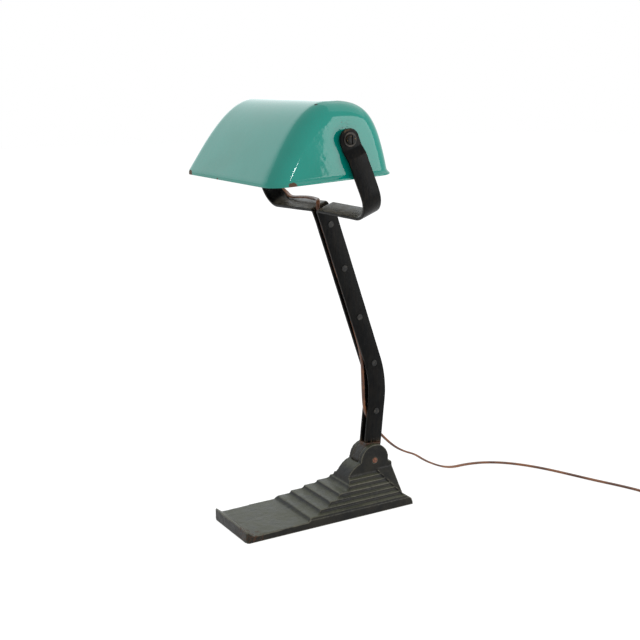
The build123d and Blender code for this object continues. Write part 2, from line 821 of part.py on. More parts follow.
with BuildPart() as centre_contact:
    contact_end_x = insert_end_x + contact_thickness
    round_step(across, insert_end_x, contact_end_x, contact_diameter)
save("centre_contact", centre_contact.part)

with BuildPart() as terminal_screws:
    for side in (-1, 1):
        with BuildSketch(across(cap_end_x)):
            with Locations((0, side * terminal_spacing / 2)):
                Circle(terminal_screw_diameter / 2)
        extrude(amount=-terminal_screw_height)
save("terminal_screws", terminal_screws.part)

with BuildPart() as holder_ring:
    ring_end_x = holder_end_x - ring_setback
    round_step(across, ring_end_x - ring_length, ring_end_x, ring_diameter)
    round_step(across, ring_end_x - ring_length, ring_end_x, holder_diameter, mode=Mode.SUBTRACT)
save("holder_ring", holder_ring.part)

with BuildPart() as switch_key:
    key_blade_start = holder_diameter / 2 + key_shaft_length - key_blade_length
    round_step(across_key, key_inner, holder_diameter / 2 + key_shaft_length, key_diameter)
    with BuildSketch(across_key(key_blade_start)):
        RectangleRounded(key_blade_width, key_blade_thickness, key_blade_thickness * key_blade_roundness)
    extrude(amount=key_blade_length)
save("switch_key", switch_key.part)

# ---------------------------------------------------------------- bulb
bulb_start_x = contact_end_x
bulb_cap_x = bulb_start_x + bulb_tip_height
bulb_glass_x = bulb_cap_x + bulb_cap_length
bulb_end_x = bulb_start_x + bulb_length
bulb_radius = bulb_diameter / 2
bulb_centre_x = bulb_end_x - bulb_radius


def bulb_form(inset):
    """The bulb's envelope, inset from its outside: a straight neck that flows into a globe."""
    turn = math.radians(bulb_neck_turn)
    globe = bulb_radius - inset
    neck = bulb_neck_diameter / 2 - inset
    joint = (bulb_centre_x + globe * math.cos(turn), globe * math.sin(turn))
    pull = bulb_flow_length
    with BuildPart() as form:
        with BuildSketch(axis_plane):
            with BuildLine():
                Polyline((bulb_centre_x + globe, 0), (bulb_glass_x, 0), (bulb_glass_x, neck))
                Bezier(
                    (bulb_glass_x, neck),
                    (bulb_glass_x + pull, neck),
                    (joint[0] - pull * math.sin(turn), joint[1] + pull * math.cos(turn)),
                    joint,
                )
                CenterArc((bulb_centre_x, 0), globe, 0, bulb_neck_turn)
            make_face()
        revolve(axis=pivot_axis)
    return form.part


with BuildPart() as bulb_glass:
    add(bulb_form(0))
    add(bulb_form(bulb_glass_wall), mode=Mode.SUBTRACT)
save("bulb_glass", bulb_glass.part)

with BuildPart() as bulb_cap:
    round_step(across, bulb_cap_x, bulb_glass_x, bulb_cap_diameter)
save("bulb_cap", bulb_cap.part)

with BuildPart() as bulb_tip:
    round_step(across, bulb_start_x, bulb_cap_x, bulb_tip_diameter)
save("bulb_tip", bulb_tip.part)

# ---------------------------------------------------------------- flex held by the lamp
def on_yoke(x, across_bar, up):
    """The world place of a point of the yoke: out along X, towards the back, up the straps."""
    return (
        x,
        yoke_y + across_bar * math.cos(yoke_turn) - up * math.sin(yoke_turn),
        yoke_z + across_bar * math.sin(yoke_turn) + up * math.cos(yoke_turn),
    )


# From the back of the gap above the hinge, up between the bars in front of the spacers
arm_route = [
    (0, 79.0, 75.0),
    (0, 74.0, 82.0),
    (0, 66.3, 90.2),
    (0, 60.9, 101.0),
    (0, 59.0, 118.0),
    (0, 58.2, 138.0),
    (0, 57.0, 160.0),
    (0, 48.4, 189.5),
    (0, 35.6, 227.2),
    (0, 24.6, 256.3),
    (0, 15.2, 283.6),
    (0, 8.2, 302.5),
]
# Out of the gap, behind the left ledge, round the left strap and up to the nipple's mouth
yoke_route = [
    (0, -6.3, -10.0),
    (-0.6, -4.6, 0.5),
    (-3.2, -0.6, 5.4),
    (-9.0, 3.8, 5.2),
    (-18.0, 7.2, 2.3),
    (-34.0, 8.6, 1.2),
    (-52.0, 8.0, 0.2),
    (-68.0, 9.6, -0.2),
    (-82.0, 13.4, -0.8),
    (-95.0, 15.0, 1.5),
    (-103.0, 13.2, 11.0),
    (-105.2, 9.0, 24.0),
    (-106.0, 4.5, 39.0),
    (-107.5, 1.6, 53.0),
    (-109.8, 0.4, 64.0),
    (-108.8, 0, 72.6),
]
nipple_mouth = (nipple_outer_x, pivot_y, pivot_z)
before_nipple = (nipple_outer_x - nipple_approach, pivot_y, pivot_z)

with BuildPart() as flex_in_arm:
    held_route = arm_route + [on_yoke(*place) for place in yoke_route] + [before_nipple, nipple_mouth]
    flex_tube("flex_in_arm", held_route)
save("flex_in_arm", flex_in_arm.part)

with BuildPart() as flex_tail:
    round_step(across, nipple_outer_x, cap_end_x, flex_diameter)
save("flex_tail", flex_tail.part)

# ---------------------------------------------------------------- flex behind the foot
floor_z = flex_floor_height
free_route = [
    (-1.9, 88.0, 65.6),
    (-5.5, 105.0, 50.9),
    (-9.0, 121.5, 41.2),
    (-12.2, 137.0, 34.6),
    (-15.6, 153.0, 23.2),
    (-19.2, 170.0, 13.9),
    (-22.6, 186.0, 6.6),
    (-26.2, 203.0, floor_z),
    (-27.0, 224.0, floor_z),
    (-21.0, 246.0, floor_z),
    (-7.0, 266.0, floor_z),
    (13.0, 282.0, floor_z),
    (37.0, 295.0, floor_z),
    (63.0, 305.5, floor_z),
    (90.0, 316.0, floor_z),
    (116.0, 328.0, floor_z),
    (139.0, 340.5, floor_z),
]
coil_x, coil_y = coil_place
coil_outer = (coil_turns_diameter + coil_bundle_width) / 2
coil_inner = (coil_turns_diameter - coil_bundle_width) / 2
# The flex runs into the coil along its middle turn
coil_entry_turn = math.radians(coil_entry)
free_route.append(
    (
        coil_x + coil_turns_diameter / 2 * math.cos(coil_entry_turn),
        coil_y + coil_turns_diameter / 2 * math.sin(coil_entry_turn),
        coil_tie_thickness + coil_height / 2,
    )
)

with BuildPart() as cord_coil:
    with BuildSketch(Plane(origin=(coil_x, coil_y, coil_tie_thickness))):
        Circle(coil_outer)
        Circle(coil_inner, mode=Mode.SUBTRACT)
    extrude(amount=coil_height)
    fillet(cord_coil.edges().filter_by(GeomType.CIRCLE), radius=coil_edge_radius)
save("cord_coil", cord_coil.part)

with BuildPart() as cord_free:
    flex_tube("cord_free", free_route)
    with BuildSketch(Plane(origin=(coil_x, coil_y, 0))):
        Circle(coil_outer)
    extrude(amount=coil_tie_thickness + coil_height, mode=Mode.SUBTRACT)
save("cord_free", cord_free.part)

with BuildPart() as cord_tie:
    tie_turn = math.radians(coil_tie_turn)
    tie_out = (math.cos(tie_turn), math.sin(tie_turn), 0)
    tie_middle = (
        coil_x + coil_turns_diameter / 2 * tie_out[0],
        coil_y + coil_turns_diameter / 2 * tie_out[1],
        coil_tie_thickness + coil_height / 2,
    )
    with BuildSketch(Plane(origin=tie_middle, x_dir=tie_out, z_dir=(tie_out[1], -tie_out[0], 0))):
        RectangleRounded(
            coil_bundle_width + 2 * coil_tie_thickness,
            coil_height + 2 * coil_tie_thickness,
            coil_edge_radius,
        )
    extrude(amount=coil_tie_width / 2, both=True)
    add(cord_coil.part, mode=Mode.SUBTRACT)
save("cord_tie", cord_tie.part)

# ---------------------------------------------------------------- plug
plug_turn = math.radians(plug_heading)
plug_leave = plug_turn - math.pi / 2
plug_out = (math.cos(plug_turn), math.sin(plug_turn), 0)
# The flex leaves the coil along the tangent of its middle turn and runs straight into the plug
lead_out = math.sqrt(coil_outer**2 - (coil_turns_diameter / 2) ** 2)
plug_start = (
    coil_x + coil_turns_diameter / 2 * math.cos(plug_leave) + lead_out * plug_out[0],
    coil_y + coil_turns_diameter / 2 * math.sin(plug_leave) + lead_out * plug_out[1],
    plug_thickness / 2,
)


def along_plug(distance):
    """The plane square to the plug's axis, that far from the coil."""
    origin = tuple(start + distance * out for start, out in zip(plug_start, plug_out))
    return Plane(origin=origin, x_dir=(-plug_out[1], plug_out[0], 0), z_dir=plug_out)


plug_face = plug_relief_length + plug_length

with BuildPart() as plug_body:
    with BuildSketch(along_plug(0)):
        Circle(plug_relief_tip / 2)
    with BuildSketch(along_plug(plug_relief_length)):
        Circle(plug_relief_diameter / 2)
    loft()
    with BuildSketch(along_plug(plug_relief_length)):
        RectangleRounded(plug_neck_width, plug_neck_thickness, plug_corner_radius)
    with BuildSketch(along_plug(plug_relief_length + plug_taper_length)):
        RectangleRounded(plug_width, plug_thickness, plug_corner_radius)
    loft()
    with BuildSketch(along_plug(plug_relief_length + plug_taper_length)):
        RectangleRounded(plug_width, plug_thickness, plug_corner_radius)
    extrude(amount=plug_length - plug_taper_length)
    add(cord_coil.part, mode=Mode.SUBTRACT)
save("plug_body", plug_body.part)

with BuildPart() as plug_pins:
    with BuildSketch(along_plug(plug_face)):
        with GridLocations(plug_pin_spacing, 0, 2, 1):
            Circle(plug_pin_diameter / 2)
    extrude(amount=plug_pin_length)
    pin_ends = plug_pins.edges().filter_by(GeomType.CIRCLE).sort_by(Axis(plug_start, plug_out))[-2:]
    chamfer(pin_ends, length=plug_pin_diameter / 8)
save("plug_pins", plug_pins.part)
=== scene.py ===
"""The bankers desk lamp's finish, in metres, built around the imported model.

A stepped cast-iron foot, two black flat bars that form the arm and the yoke, a green
enamelled shade and a brown twin flex that ends in a coil and a plug behind the lamp.
"""

import json
import math

import bmesh
import bpy
from mathutils import Matrix, Vector, noise


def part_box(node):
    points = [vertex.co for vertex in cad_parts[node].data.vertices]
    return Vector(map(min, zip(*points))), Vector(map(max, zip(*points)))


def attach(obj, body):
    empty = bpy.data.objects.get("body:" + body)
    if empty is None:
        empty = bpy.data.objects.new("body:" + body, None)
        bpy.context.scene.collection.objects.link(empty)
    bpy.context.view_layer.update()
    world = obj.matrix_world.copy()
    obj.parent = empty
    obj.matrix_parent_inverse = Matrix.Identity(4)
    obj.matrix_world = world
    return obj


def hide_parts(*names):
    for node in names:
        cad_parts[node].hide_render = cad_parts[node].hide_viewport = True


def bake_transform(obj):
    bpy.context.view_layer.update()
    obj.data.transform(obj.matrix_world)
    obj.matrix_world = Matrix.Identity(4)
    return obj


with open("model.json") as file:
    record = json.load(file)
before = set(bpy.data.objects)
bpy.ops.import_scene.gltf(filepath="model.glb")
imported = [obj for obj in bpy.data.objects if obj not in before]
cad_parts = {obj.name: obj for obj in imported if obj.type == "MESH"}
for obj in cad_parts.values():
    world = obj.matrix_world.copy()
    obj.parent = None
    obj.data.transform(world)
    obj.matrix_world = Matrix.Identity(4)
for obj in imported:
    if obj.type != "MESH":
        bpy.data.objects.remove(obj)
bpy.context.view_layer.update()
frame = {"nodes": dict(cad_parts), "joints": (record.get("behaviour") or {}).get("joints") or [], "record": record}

# ---------------------------------------------------------------- places from the frame
joints = {joint["name"]: Vector(joint["pos_m"]) for joint in frame["joints"]}
PIN = joints["arm_tilt"]
PIVOT = joints["shade_tilt"]
X_AXIS = Vector((1, 0, 0))
UP = Vector((0, 0, 1))

# Arm and yoke: leans and droops in degrees, the bars' start and lower length from the hinge
# pin, heights above the ledge, and the shoulder as (out, up)
LOWER_LEAN = 5.3
YOKE_LEAN = 21.5
LOWER_LENGTH = 0.0876
PIVOT_HEIGHT = 0.0752
BAR_START = 0.018
BAR_WIDTH = 0.020
BAR_THICKNESS = 0.003
BAR_GAP = 0.006
ARM_BEND_RADIUS = 0.105
YOKE_BEND_RADIUS = 0.060
YOKE_STRAIGHT = 0.014
FOLD_START = 0.005
FOLD_RADIUS = 0.0026
LEDGE_REACH = 0.0984
LEFT_LEDGE_DROOP = 2.5
RIGHT_LEDGE_DROOP = 0.0
LEFT_CORNER_RADIUS = 0.018
RIGHT_CORNER_RADIUS = 0.024
STRAP_BOW_HEIGHT = 0.026
STRAP_BOW_RADIUS = 0.030
STRAP_SHOULDER = (0.0968, 0.058)
STRAP_JOGGLE_HEIGHT = 0.0665
STRAP_TIP_REACH = 0.0929
STRAP_CORNER_RADIUS = 0.004

# Shade: s runs to the back and h up from its rim plane, and the ends face along X; the half
# width, front and back are those at the top of its flare
SHADE_TILT = 3.4
SHADE_HALF_WIDTH = 0.0926
SHADE_END_DRAFT = 7.8
SHADE_FRONT = 0.0627
SHADE_BACK = 0.0655
SHADE_APEX = 0.0099
SHADE_HEIGHT = 0.070
SHADE_EDGE_RADIUS = 0.016
SHADE_SHEET = 0.0012
FLARE_HEIGHT = 0.0052
FLARE_WIDTH = 0.0029
FRONT_FLARE_WIDTH = 0.0008
RIM_EDGE_HEIGHT = 0.0013
PIVOT_FROM_MIDDLE = 0.0183
PIVOT_ABOVE_RIM = 0.0358


def leaning(lean):
    """The unit vector that leans towards the back by that many degrees."""
    turn = math.radians(lean)
    return Vector((0, math.sin(turn), math.cos(turn)))


LOWER_UP = leaning(LOWER_LEAN)
YOKE_UP = leaning(-YOKE_LEAN)
YOKE_BACK = -X_AXIS.cross(YOKE_UP)
YOKE_ORIGIN = PIVOT - PIVOT_HEIGHT * YOKE_UP
BEND = PIN + LOWER_LENGTH * LOWER_UP
SHADE_UP = leaning(-SHADE_TILT)
SHADE_BACKWARDS = -X_AXIS.cross(SHADE_UP)
SHADE_ORIGIN = PIVOT - PIVOT_FROM_MIDDLE * SHADE_BACKWARDS - PIVOT_ABOVE_RIM * SHADE_UP


def on_yoke(x, across, up):
    """A place of the yoke: out along X, towards the back, up the straps."""
    return YOKE_ORIGIN + x * X_AXIS + across * YOKE_BACK + up * YOKE_UP


def on_shade(x, s, h):
    """A place of the shade: along X, towards the back, up from its rim plane."""
    return SHADE_ORIGIN + x * X_AXIS + s * SHADE_BACKWARDS + h * SHADE_UP


# ---------------------------------------------------------------- camera
CAMERA_TARGET = Vector((0.0356, -0.0158, 0.2161))
CAMERA_AZIMUTH = math.radians(58.95)
CAMERA_ELEVATION = math.radians(12.75)
CAMERA_DISTANCE = 1.05
CAMERA_LENS = 60.37
SENSOR_WIDTH = 36


def make_camera():
    """A camera at the photograph's viewing angle."""
    level = math.cos(CAMERA_ELEVATION)
    towards = Vector(
        (
            math.sin(CAMERA_AZIMUTH) * level,
            -math.cos(CAMERA_AZIMUTH) * level,
            math.sin(CAMERA_ELEVATION),
        )
    )
    data = bpy.data.cameras.new("camera")
    data.lens = CAMERA_LENS
    data.sensor_width = SENSOR_WIDTH
    camera = bpy.data.objects.new("camera", data)
    camera.location = CAMERA_TARGET + CAMERA_DISTANCE * towards
    camera.rotation_euler = (-towards).to_track_quat("-Z", "Y").to_euler()
    bpy.context.scene.collection.objects.link(camera)
    bpy.context.scene.camera = camera


# ---------------------------------------------------------------- materials
NOISE_ROUGHNESS = 0.55
SPOT_EDGE = 0.8


class Recipe:
    """One material, built node by node."""

    def __init__(self, name):
        self.material = bpy.data.materials.new(name)
        self.material.use_nodes = True
        self.tree = self.material.node_tree
        self.surface = self.tree.nodes["Principled BSDF"]
        self.place = self.node("ShaderNodeTexCoord").outputs["Object"]

    def node(self, kind, inputs=None, **settings):
        """Add a node, with its settings, and values or links for its inputs."""
        made = self.tree.nodes.new(kind)
        for name, value in settings.items():
            setattr(made, name, value)
        for name, value in (inputs or {}).items():
            self.feed(made.inputs[name], value)
        return made

    def feed(self, socket, value):
        """Link an output to the socket, or set its value."""
        if isinstance(value, bpy.types.NodeSocket):
            self.tree.links.new(value, socket)
        else:
            socket.default_value = value

    def noise(self, scale, detail=4.0, distortion=0.0, place=None):
        """Fine or coarse clouds, from 0 to 1, with that many features per metre."""
        inputs = {
            "Vector": place or self.place,
            "Scale": scale,
            "Detail": detail,
            "Roughness": NOISE_ROUGHNESS,
            "Distortion": distortion,
        }
        return self.node("ShaderNodeTexNoise", inputs).outputs["Fac"]

    def stretched(self, scale):
        """Object coordinates scaled along each axis, for grain that runs one way."""
        inputs = {"Vector": self.place, "Scale": scale}
        return self.node("ShaderNodeMapping", inputs).outputs["Vector"]

    def span(self, value, low, high, to_low=0.0, to_high=1.0):
        """Carry a value from one range to another, clamped and smooth at both ends."""
        made = self.node("ShaderNodeMapRange", {"Value": value})
        made.interpolation_type = "SMOOTHSTEP"
        made.inputs["From Min"].default_value = low
        made.inputs["From Max"].default_value = high
        made.inputs["To Min"].default_value = to_low
        made.inputs["To Max"].default_value = to_high
        return made.outputs["Result"]

    def math(self, operation, first, second):
        """The result of one operation on two values."""
        made = self.node("ShaderNodeMath", operation=operation)
        self.feed(made.inputs[0], first)
        self.feed(made.inputs[1], second)
        return made.outputs["Value"]

    def mix(self, share, first, second):
        """Mix two colours."""
        made = self.node("ShaderNodeMix", data_type="RGBA")
        self.feed(made.inputs["Factor"], share)
        self.feed(made.inputs["A"], first)
        self.feed(made.inputs["B"], second)
        return made.outputs["Result"]

    def near(self, centre, radius, ragged, grain):
        """A ragged spot, 1 inside and 0 outside, round a place on the piece."""
        shake = self.node(
            "ShaderNodeTexNoise", {"Vector": self.place, "Scale": grain, "Detail": 3.0}
        ).outputs["Color"]
        moved = self.node("ShaderNodeVectorMath", operation="MULTIPLY_ADD")
        self.feed(moved.inputs[0], shake)
        moved.inputs[1].default_value = (ragged, ragged, ragged)
        self.feed(moved.inputs[2], self.place)
        away = self.node("ShaderNodeVectorMath", operation="DISTANCE")
        self.feed(away.inputs[0], moved.outputs["Vector"])
        half = Vector((ragged, ragged, ragged)) / 2
        away.inputs[1].default_value = Vector(centre) + half
        return self.span(away.outputs["Value"], radius, radius * SPOT_EDGE)

    def height(self):
        """The height above the floor."""
        return self.node("ShaderNodeSeparateXYZ", {"Vector": self.place}).outputs["Z"]

    def facing_up(self, low, high):
        """1 where the surface faces up, 0 where it stands."""
        normal = self.node("ShaderNodeNewGeometry").outputs["Normal"]
        upwards = self.node("ShaderNodeSeparateXYZ", {"Vector": normal}).outputs["Z"]
        return self.span(upwards, low, high)

    def pointiness(self, low, high):
        """1 on the surface's outward edges and 0 elsewhere, or in its hollows if low is above
        high."""
        pointed = self.node("ShaderNodeNewGeometry").outputs["Pointiness"]
        return self.span(pointed, low, high)

    def bump(self, height, distance):
        """Raise the surface by a height times a distance in metres."""
        inputs = {"Height": height, "Distance": distance, "Strength": 1.0}
        made = self.node("ShaderNodeBump", inputs)
        self.feed(self.surface.inputs["Normal"], made.outputs["Normal"])

    def finish(self, **sockets):
        """Feed the surface's own sockets, named with underscores for spaces."""
        for name, value in sockets.items():
            self.feed(self.surface.inputs[name.replace("_", " ")], value)
        return self.material


def shade_of(red, green, blue):
    """A colour given as it looks on a screen, from 0 to 255, as linear light."""
    linear = []
    for value in (red, green, blue):
        if value > 10:
            linear.append(((value / 255 + 0.055) / 1.055) ** 2.4)
        else:
            linear.append(value / 255 / 12.92)
    return (*linear, 1.0)


def cast_iron():
    """Near-black iron with olive and brown clouds, a painted sheen on its tops, grey on its edges from rubbing and
    a painted highlight, painted shade in its grooves, and with small rust specks, mostly at its right front
    corner."""
    recipe = Recipe("cast_iron")
    low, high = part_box("base_casting")
    front_corner = Vector((high.x, low.y, low.z + 0.006))
    mottle = recipe.noise(75, detail=7, distortion=0.5)
    fine = recipe.noise(700, detail=4)
    colour = recipe.mix(recipe.span(mottle, 0.4, 0.62), shade_of(12, 13, 10), shade_of(28, 26, 20))
    olive = recipe.span(recipe.noise(26, detail=5), 0.5, 0.66, 0, 0.45)
    colour = recipe.mix(olive, colour, shade_of(44, 44, 32))
    # Grey on the outward edges: partly rubbed wear, partly a painted highlight along the ridges
    rubbed = recipe.span(mottle, 0.3, 0.6, 0.4, 1)
    worn = recipe.math("MULTIPLY", recipe.pointiness(0.505, 0.54), rubbed)
    colour = recipe.mix(recipe.math("MULTIPLY", worn, 0.7), colour, shade_of(122, 119, 106))
    # Painted sheen: surfaces that face up are made lighter olive-grey, as light falls on the tops
    top_sheen_share = recipe.span(mottle, 0.3, 0.6, 0.35, 0.7)
    painted_top_sheen = recipe.math("MULTIPLY", recipe.facing_up(0.6, 0.95), top_sheen_share)
    colour = recipe.mix(painted_top_sheen, colour, shade_of(80, 82, 64))
    # Painted shade: darker in the grooves and hollows between the steps
    painted_groove_shade = recipe.pointiness(0.492, 0.46)
    colour = recipe.mix(recipe.math("MULTIPLY", painted_groove_shade, 0.8), colour, shade_of(9, 9, 8))
    corner = recipe.near(front_corner, 0.022, 0.016, 200)
    specks = recipe.noise(420, detail=3)
    rust = recipe.math("MULTIPLY", corner, recipe.span(specks, 0.5, 0.6, 0, 0.85))
    rust = recipe.math("MAXIMUM", rust, recipe.span(specks, 0.68, 0.74, 0, 0.6))
    colour = recipe.mix(rust, colour, shade_of(72, 48, 34))
    rough = recipe.span(mottle, 0.35, 0.65, 0.3, 0.42)
    rough = recipe.math("ADD", rough, recipe.math("MULTIPLY", rust, 0.3))
    grain = recipe.math("ADD", fine, recipe.noise(230, detail=3))
    recipe.bump(grain, 0.00016)
    return recipe.finish(Base_Color=colour, Roughness=rough, Specular_IOR_Level=0.2)


def rusty_iron():
    """The knuckle: dark olive-brown iron with rust where the bars sit on it."""
    recipe = Recipe("rusty_iron")
    patches = recipe.noise(160, detail=6, distortion=0.4)
    colour = recipe.mix(recipe.span(patches, 0.4, 0.62), shade_of(18, 17, 15), shade_of(40, 34, 26))
    colour = recipe.mix(recipe.pointiness(0.52, 0.58), colour, shade_of(108, 98, 84))
    bars_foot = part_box("arm_bar_right")[0].z
    near_foot = recipe.span(recipe.height(), bars_foot - 0.004, bars_foot + 0.001)
    rust = recipe.math("MULTIPLY", near_foot, recipe.span(patches, 0.42, 0.56, 0.2, 0.9))
    colour = recipe.mix(rust, colour, shade_of(84, 56, 38))
    recipe.bump(recipe.noise(1100, detail=3), 0.00015)
    rough = recipe.span(patches, 0.3, 0.7, 0.4, 0.65)
    return recipe.finish(Base_Color=colour, Roughness=rough, Specular_IOR_Level=0.35)


def rusty_steel():
    """The hinge screw: copper-brown steel."""
    recipe = Recipe("rusty_steel")
    patches = recipe.noise(600, detail=5)
    colour = recipe.mix(recipe.span(patches, 0.4, 0.6), shade_of(134, 82, 58), shade_of(92, 58, 44))
    recipe.bump(recipe.noise(1800, detail=2), 0.0001)
    rough = recipe.span(patches, 0.3, 0.7, 0.35, 0.6)
    return recipe.finish(Base_Color=colour, Roughness=rough, Metallic=0.35)


def black_bar():
    """Black lacquer on steel, rubbed to brown-grey along its edges, dull grey on top of the ledges from wear and a
    painted sheen, rusty at the feet."""
    recipe = Recipe("black_bar")
    streaks = recipe.noise(1, detail=5, place=recipe.stretched((900, 500, 60)))
    patches = recipe.noise(90, detail=6)
    colour = recipe.mix(recipe.span(patches, 0.4, 0.64), shade_of(6, 7, 8), shade_of(14, 15, 15))
    worn = recipe.math("MULTIPLY", recipe.pointiness(0.515, 0.6), recipe.span(streaks, 0.42, 0.6))
    colour = recipe.mix(recipe.math("MULTIPLY", worn, 0.7), colour, shade_of(104, 88, 68))
    scratches = recipe.span(streaks, 0.69, 0.74, 0, 0.35)
    colour = recipe.mix(scratches, colour, shade_of(74, 70, 62))
    height = recipe.height()
    ledge_z = YOKE_ORIGIN.z + 0.006
    # Dull grey on the ledge tops where they face up: partly rubbed wear, partly painted sheen
    on_ledge = recipe.span(height, ledge_z + 0.008, ledge_z)
    rubbed = recipe.math("MULTIPLY", recipe.facing_up(0.75, 0.92), on_ledge)
    rubbed = recipe.math("MULTIPLY", rubbed, recipe.span(patches, 0.34, 0.56, 0.35, 0.95))
    colour = recipe.mix(rubbed, colour, shade_of(84, 80, 71))
    foot_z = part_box("arm_bar_right")[0].z
    rust = recipe.span(height, foot_z + 0.003, foot_z, 0, 0.8)
    rust = recipe.math("MULTIPLY", rust, recipe.span(patches, 0.3, 0.5))
    colour = recipe.mix(rust, colour, shade_of(78, 52, 38))
    rough = recipe.span(patches, 0.3, 0.7, 0.26, 0.4)
    recipe.bump(recipe.noise(420, detail=4), 0.00014)
    return recipe.finish(Base_Color=colour, Roughness=rough, Specular_IOR_Level=0.08)


def black_rivet():
    """Rivets and spacers: the bars' lacquer, rubbed on the heads."""
    recipe = Recipe("black_rivet")
    patches = recipe.noise(500, detail=5)
    colour = recipe.mix(recipe.span(patches, 0.46, 0.64), shade_of(20, 21, 22), shade_of(58, 54, 48))
    recipe.bump(recipe.noise(1500, detail=2), 0.0001)
    return recipe.finish(Base_Color=colour, Roughness=0.36, Specular_IOR_Level=0.25)


CHIP_BROWN = shade_of(84, 58, 38)
CHIP_BLACK = shade_of(30, 26, 24)


def green_enamel():
    """Thick glossy green enamel with a few chips along the rim and grime by the straps."""
    recipe = Recipe("green_enamel")
    cloud = recipe.noise(14, detail=3)
    colour = recipe.mix(recipe.span(cloud, 0.3, 0.7), shade_of(0, 141, 124), shade_of(4, 150, 134))
    chips = [  # place in the shade's frame, radius, colour
        ((-0.0765, -0.0633, 0.0008), 0.0046, CHIP_BROWN),
        ((-0.015, -0.0635, 0.0), 0.002, CHIP_BROWN),
        ((0.0945, -0.043, -0.0002), 0.0048, CHIP_BROWN),
        ((0.0716, -0.0016, 0.0675), 0.0018, CHIP_BLACK),
    ]
    chipped = 0.0
    for place, radius, tint in chips:
        spot = recipe.near(on_shade(*place), radius, radius * 0.7, 0.9 / radius)
        colour = recipe.mix(spot, colour, tint)
        chipped = recipe.math("MAXIMUM", spot, chipped)
    grime_near = recipe.near(on_shade(SHADE_HALF_WIDTH, PIVOT_FROM_MIDDLE, 0.041), 0.016, 0.014, 120)
    specks = recipe.span(recipe.noise(620, detail=4), 0.6, 0.68)
    grime = recipe.math("MULTIPLY", recipe.math("MULTIPLY", grime_near, specks), 0.75)
    colour = recipe.mix(grime, colour, shade_of(26, 46, 42))
    rough = recipe.math("MAXIMUM", recipe.math("MULTIPLY", chipped, 0.7), 0.05)
    rough = recipe.math("MAXIMUM", rough, recipe.math("MULTIPLY", grime, 0.5))
    recipe.bump(recipe.math("SUBTRACT", recipe.noise(150, detail=1), chipped), 0.00004)
    return recipe.finish(Base_Color=colour, Roughness=rough, Specular_IOR_Level=0.45)


def white_enamel():
    """The shade's inside: white enamel, faintly yellowed."""
    recipe = Recipe("white_enamel")
    cloud = recipe.noise(30, detail=4)
    colour = recipe.mix(recipe.span(cloud, 0.3, 0.7), shade_of(236, 234, 224), shade_of(224, 220, 204))
    recipe.bump(recipe.noise(90, detail=2), 0.0001)
    return recipe.finish(Base_Color=colour, Roughness=0.16)


PLAIN_GRAIN = 1500.0
PLAIN_GRAIN_DEPTH = 0.00006


def plain(name, first, second, scale, rough, metallic=0.0):
    """A material of two near colours in fine clouds, with a light grain."""
    recipe = Recipe(name)
    clouds = recipe.noise(scale, detail=5)
    colour = recipe.mix(recipe.span(clouds, 0.35, 0.65), first, second)
    recipe.bump(recipe.noise(PLAIN_GRAIN, detail=2), PLAIN_GRAIN_DEPTH)
    roughness = recipe.span(clouds, 0.3, 0.7, rough - 0.06, rough + 0.08)
    return recipe.finish(Base_Color=colour, Roughness=roughness, Metallic=metallic)


def old_brass():
    """The pivot screw: brass gone nearly black, bare in a few places."""
    recipe = Recipe("old_brass")
    patches = recipe.noise(420, detail=4)
    bare = recipe.span(patches, 0.6, 0.68)
    colour = recipe.mix(bare, shade_of(20, 18, 16), shade_of(150, 116, 66))
    recipe.bump(recipe.noise(1500, detail=2), 0.0001)
    return recipe.finish(Base_Color=colour, Roughness=0.4, Metallic=bare, Specular_IOR_Level=0.2)


def opal_glass():
    """The bulb: white coated glass."""
    recipe = Recipe("opal_glass")
    cloud = recipe.noise(60, detail=3)
    colour = recipe.mix(recipe.span(cloud, 0.3, 0.7), shade_of(246, 244, 238), shade_of(238, 235, 226))
    return recipe.finish(Base_Color=colour, Roughness=0.12, Subsurface_Weight=0.3)


def brown_flex():
    """Old brown twin flex: glossy plastic, rubbed lighter in places."""
    recipe = Recipe("flex")
    wear = recipe.noise(50, detail=5)
    colour = recipe.mix(recipe.span(wear, 0.4, 0.62), shade_of(96, 62, 46), shade_of(140, 92, 62))
    recipe.bump(recipe.noise(1400, detail=2), 0.00008)
    rough = recipe.span(wear, 0.3, 0.7, 0.28, 0.45)
    return recipe.finish(Base_Color=colour, Roughness=rough, Specular_IOR_Level=0.3)


BROWN_DARK = shade_of(52, 34, 26)
MATERIALS = {
    "cast_iron": cast_iron(),
    "rusty_iron": rusty_iron(),
    "rusty_steel": rusty_steel(),
    "black_bar": black_bar(),
    "black_rivet": black_rivet(),
    "green_enamel": green_enamel(),
    "white_enamel": white_enamel(),
    "fibre": plain("fibre", shade_of(86, 40, 30), shade_of(66, 34, 26), 300, 0.6),
    "brass": plain("brass", shade_of(178, 142, 84), shade_of(140, 104, 60), 400, 0.3, metallic=1.0),
    "old_brass": old_brass(),
    "dark_washer": plain(
        "dark_washer", shade_of(46, 44, 42), shade_of(70, 62, 54), 500, 0.45, metallic=0.6
    ),
    "porcelain": plain("porcelain", shade_of(235, 232, 222), shade_of(222, 217, 203), 120, 0.2),
    "bakelite": plain("bakelite", BROWN_DARK, shade_of(38, 26, 20), 200, 0.22),
    "opal_glass": opal_glass(),
    "nickel": plain(
        "nickel", shade_of(190, 186, 176), shade_of(160, 154, 144), 300, 0.25, metallic=1.0
    ),
    "flex": brown_flex(),
    "tie": plain("tie", shade_of(32, 30, 28), shade_of(46, 42, 38), 400, 0.6),
}

# Nodes that don't look like the rest of their slot
FINISHES = {"pivot_screw": "old_brass"}


def dress_cad_nodes():
    """Give every CAD node the material of its slot, or the finish that it has of its own."""
    slots = {part["node"]: part["material_slot"] for part in frame["record"]["subparts"]}
    for name, node in frame["nodes"].items():
        node.data.materials.clear()
        node.data.materials.append(MATERIALS[FINISHES.get(name, slots[name])])


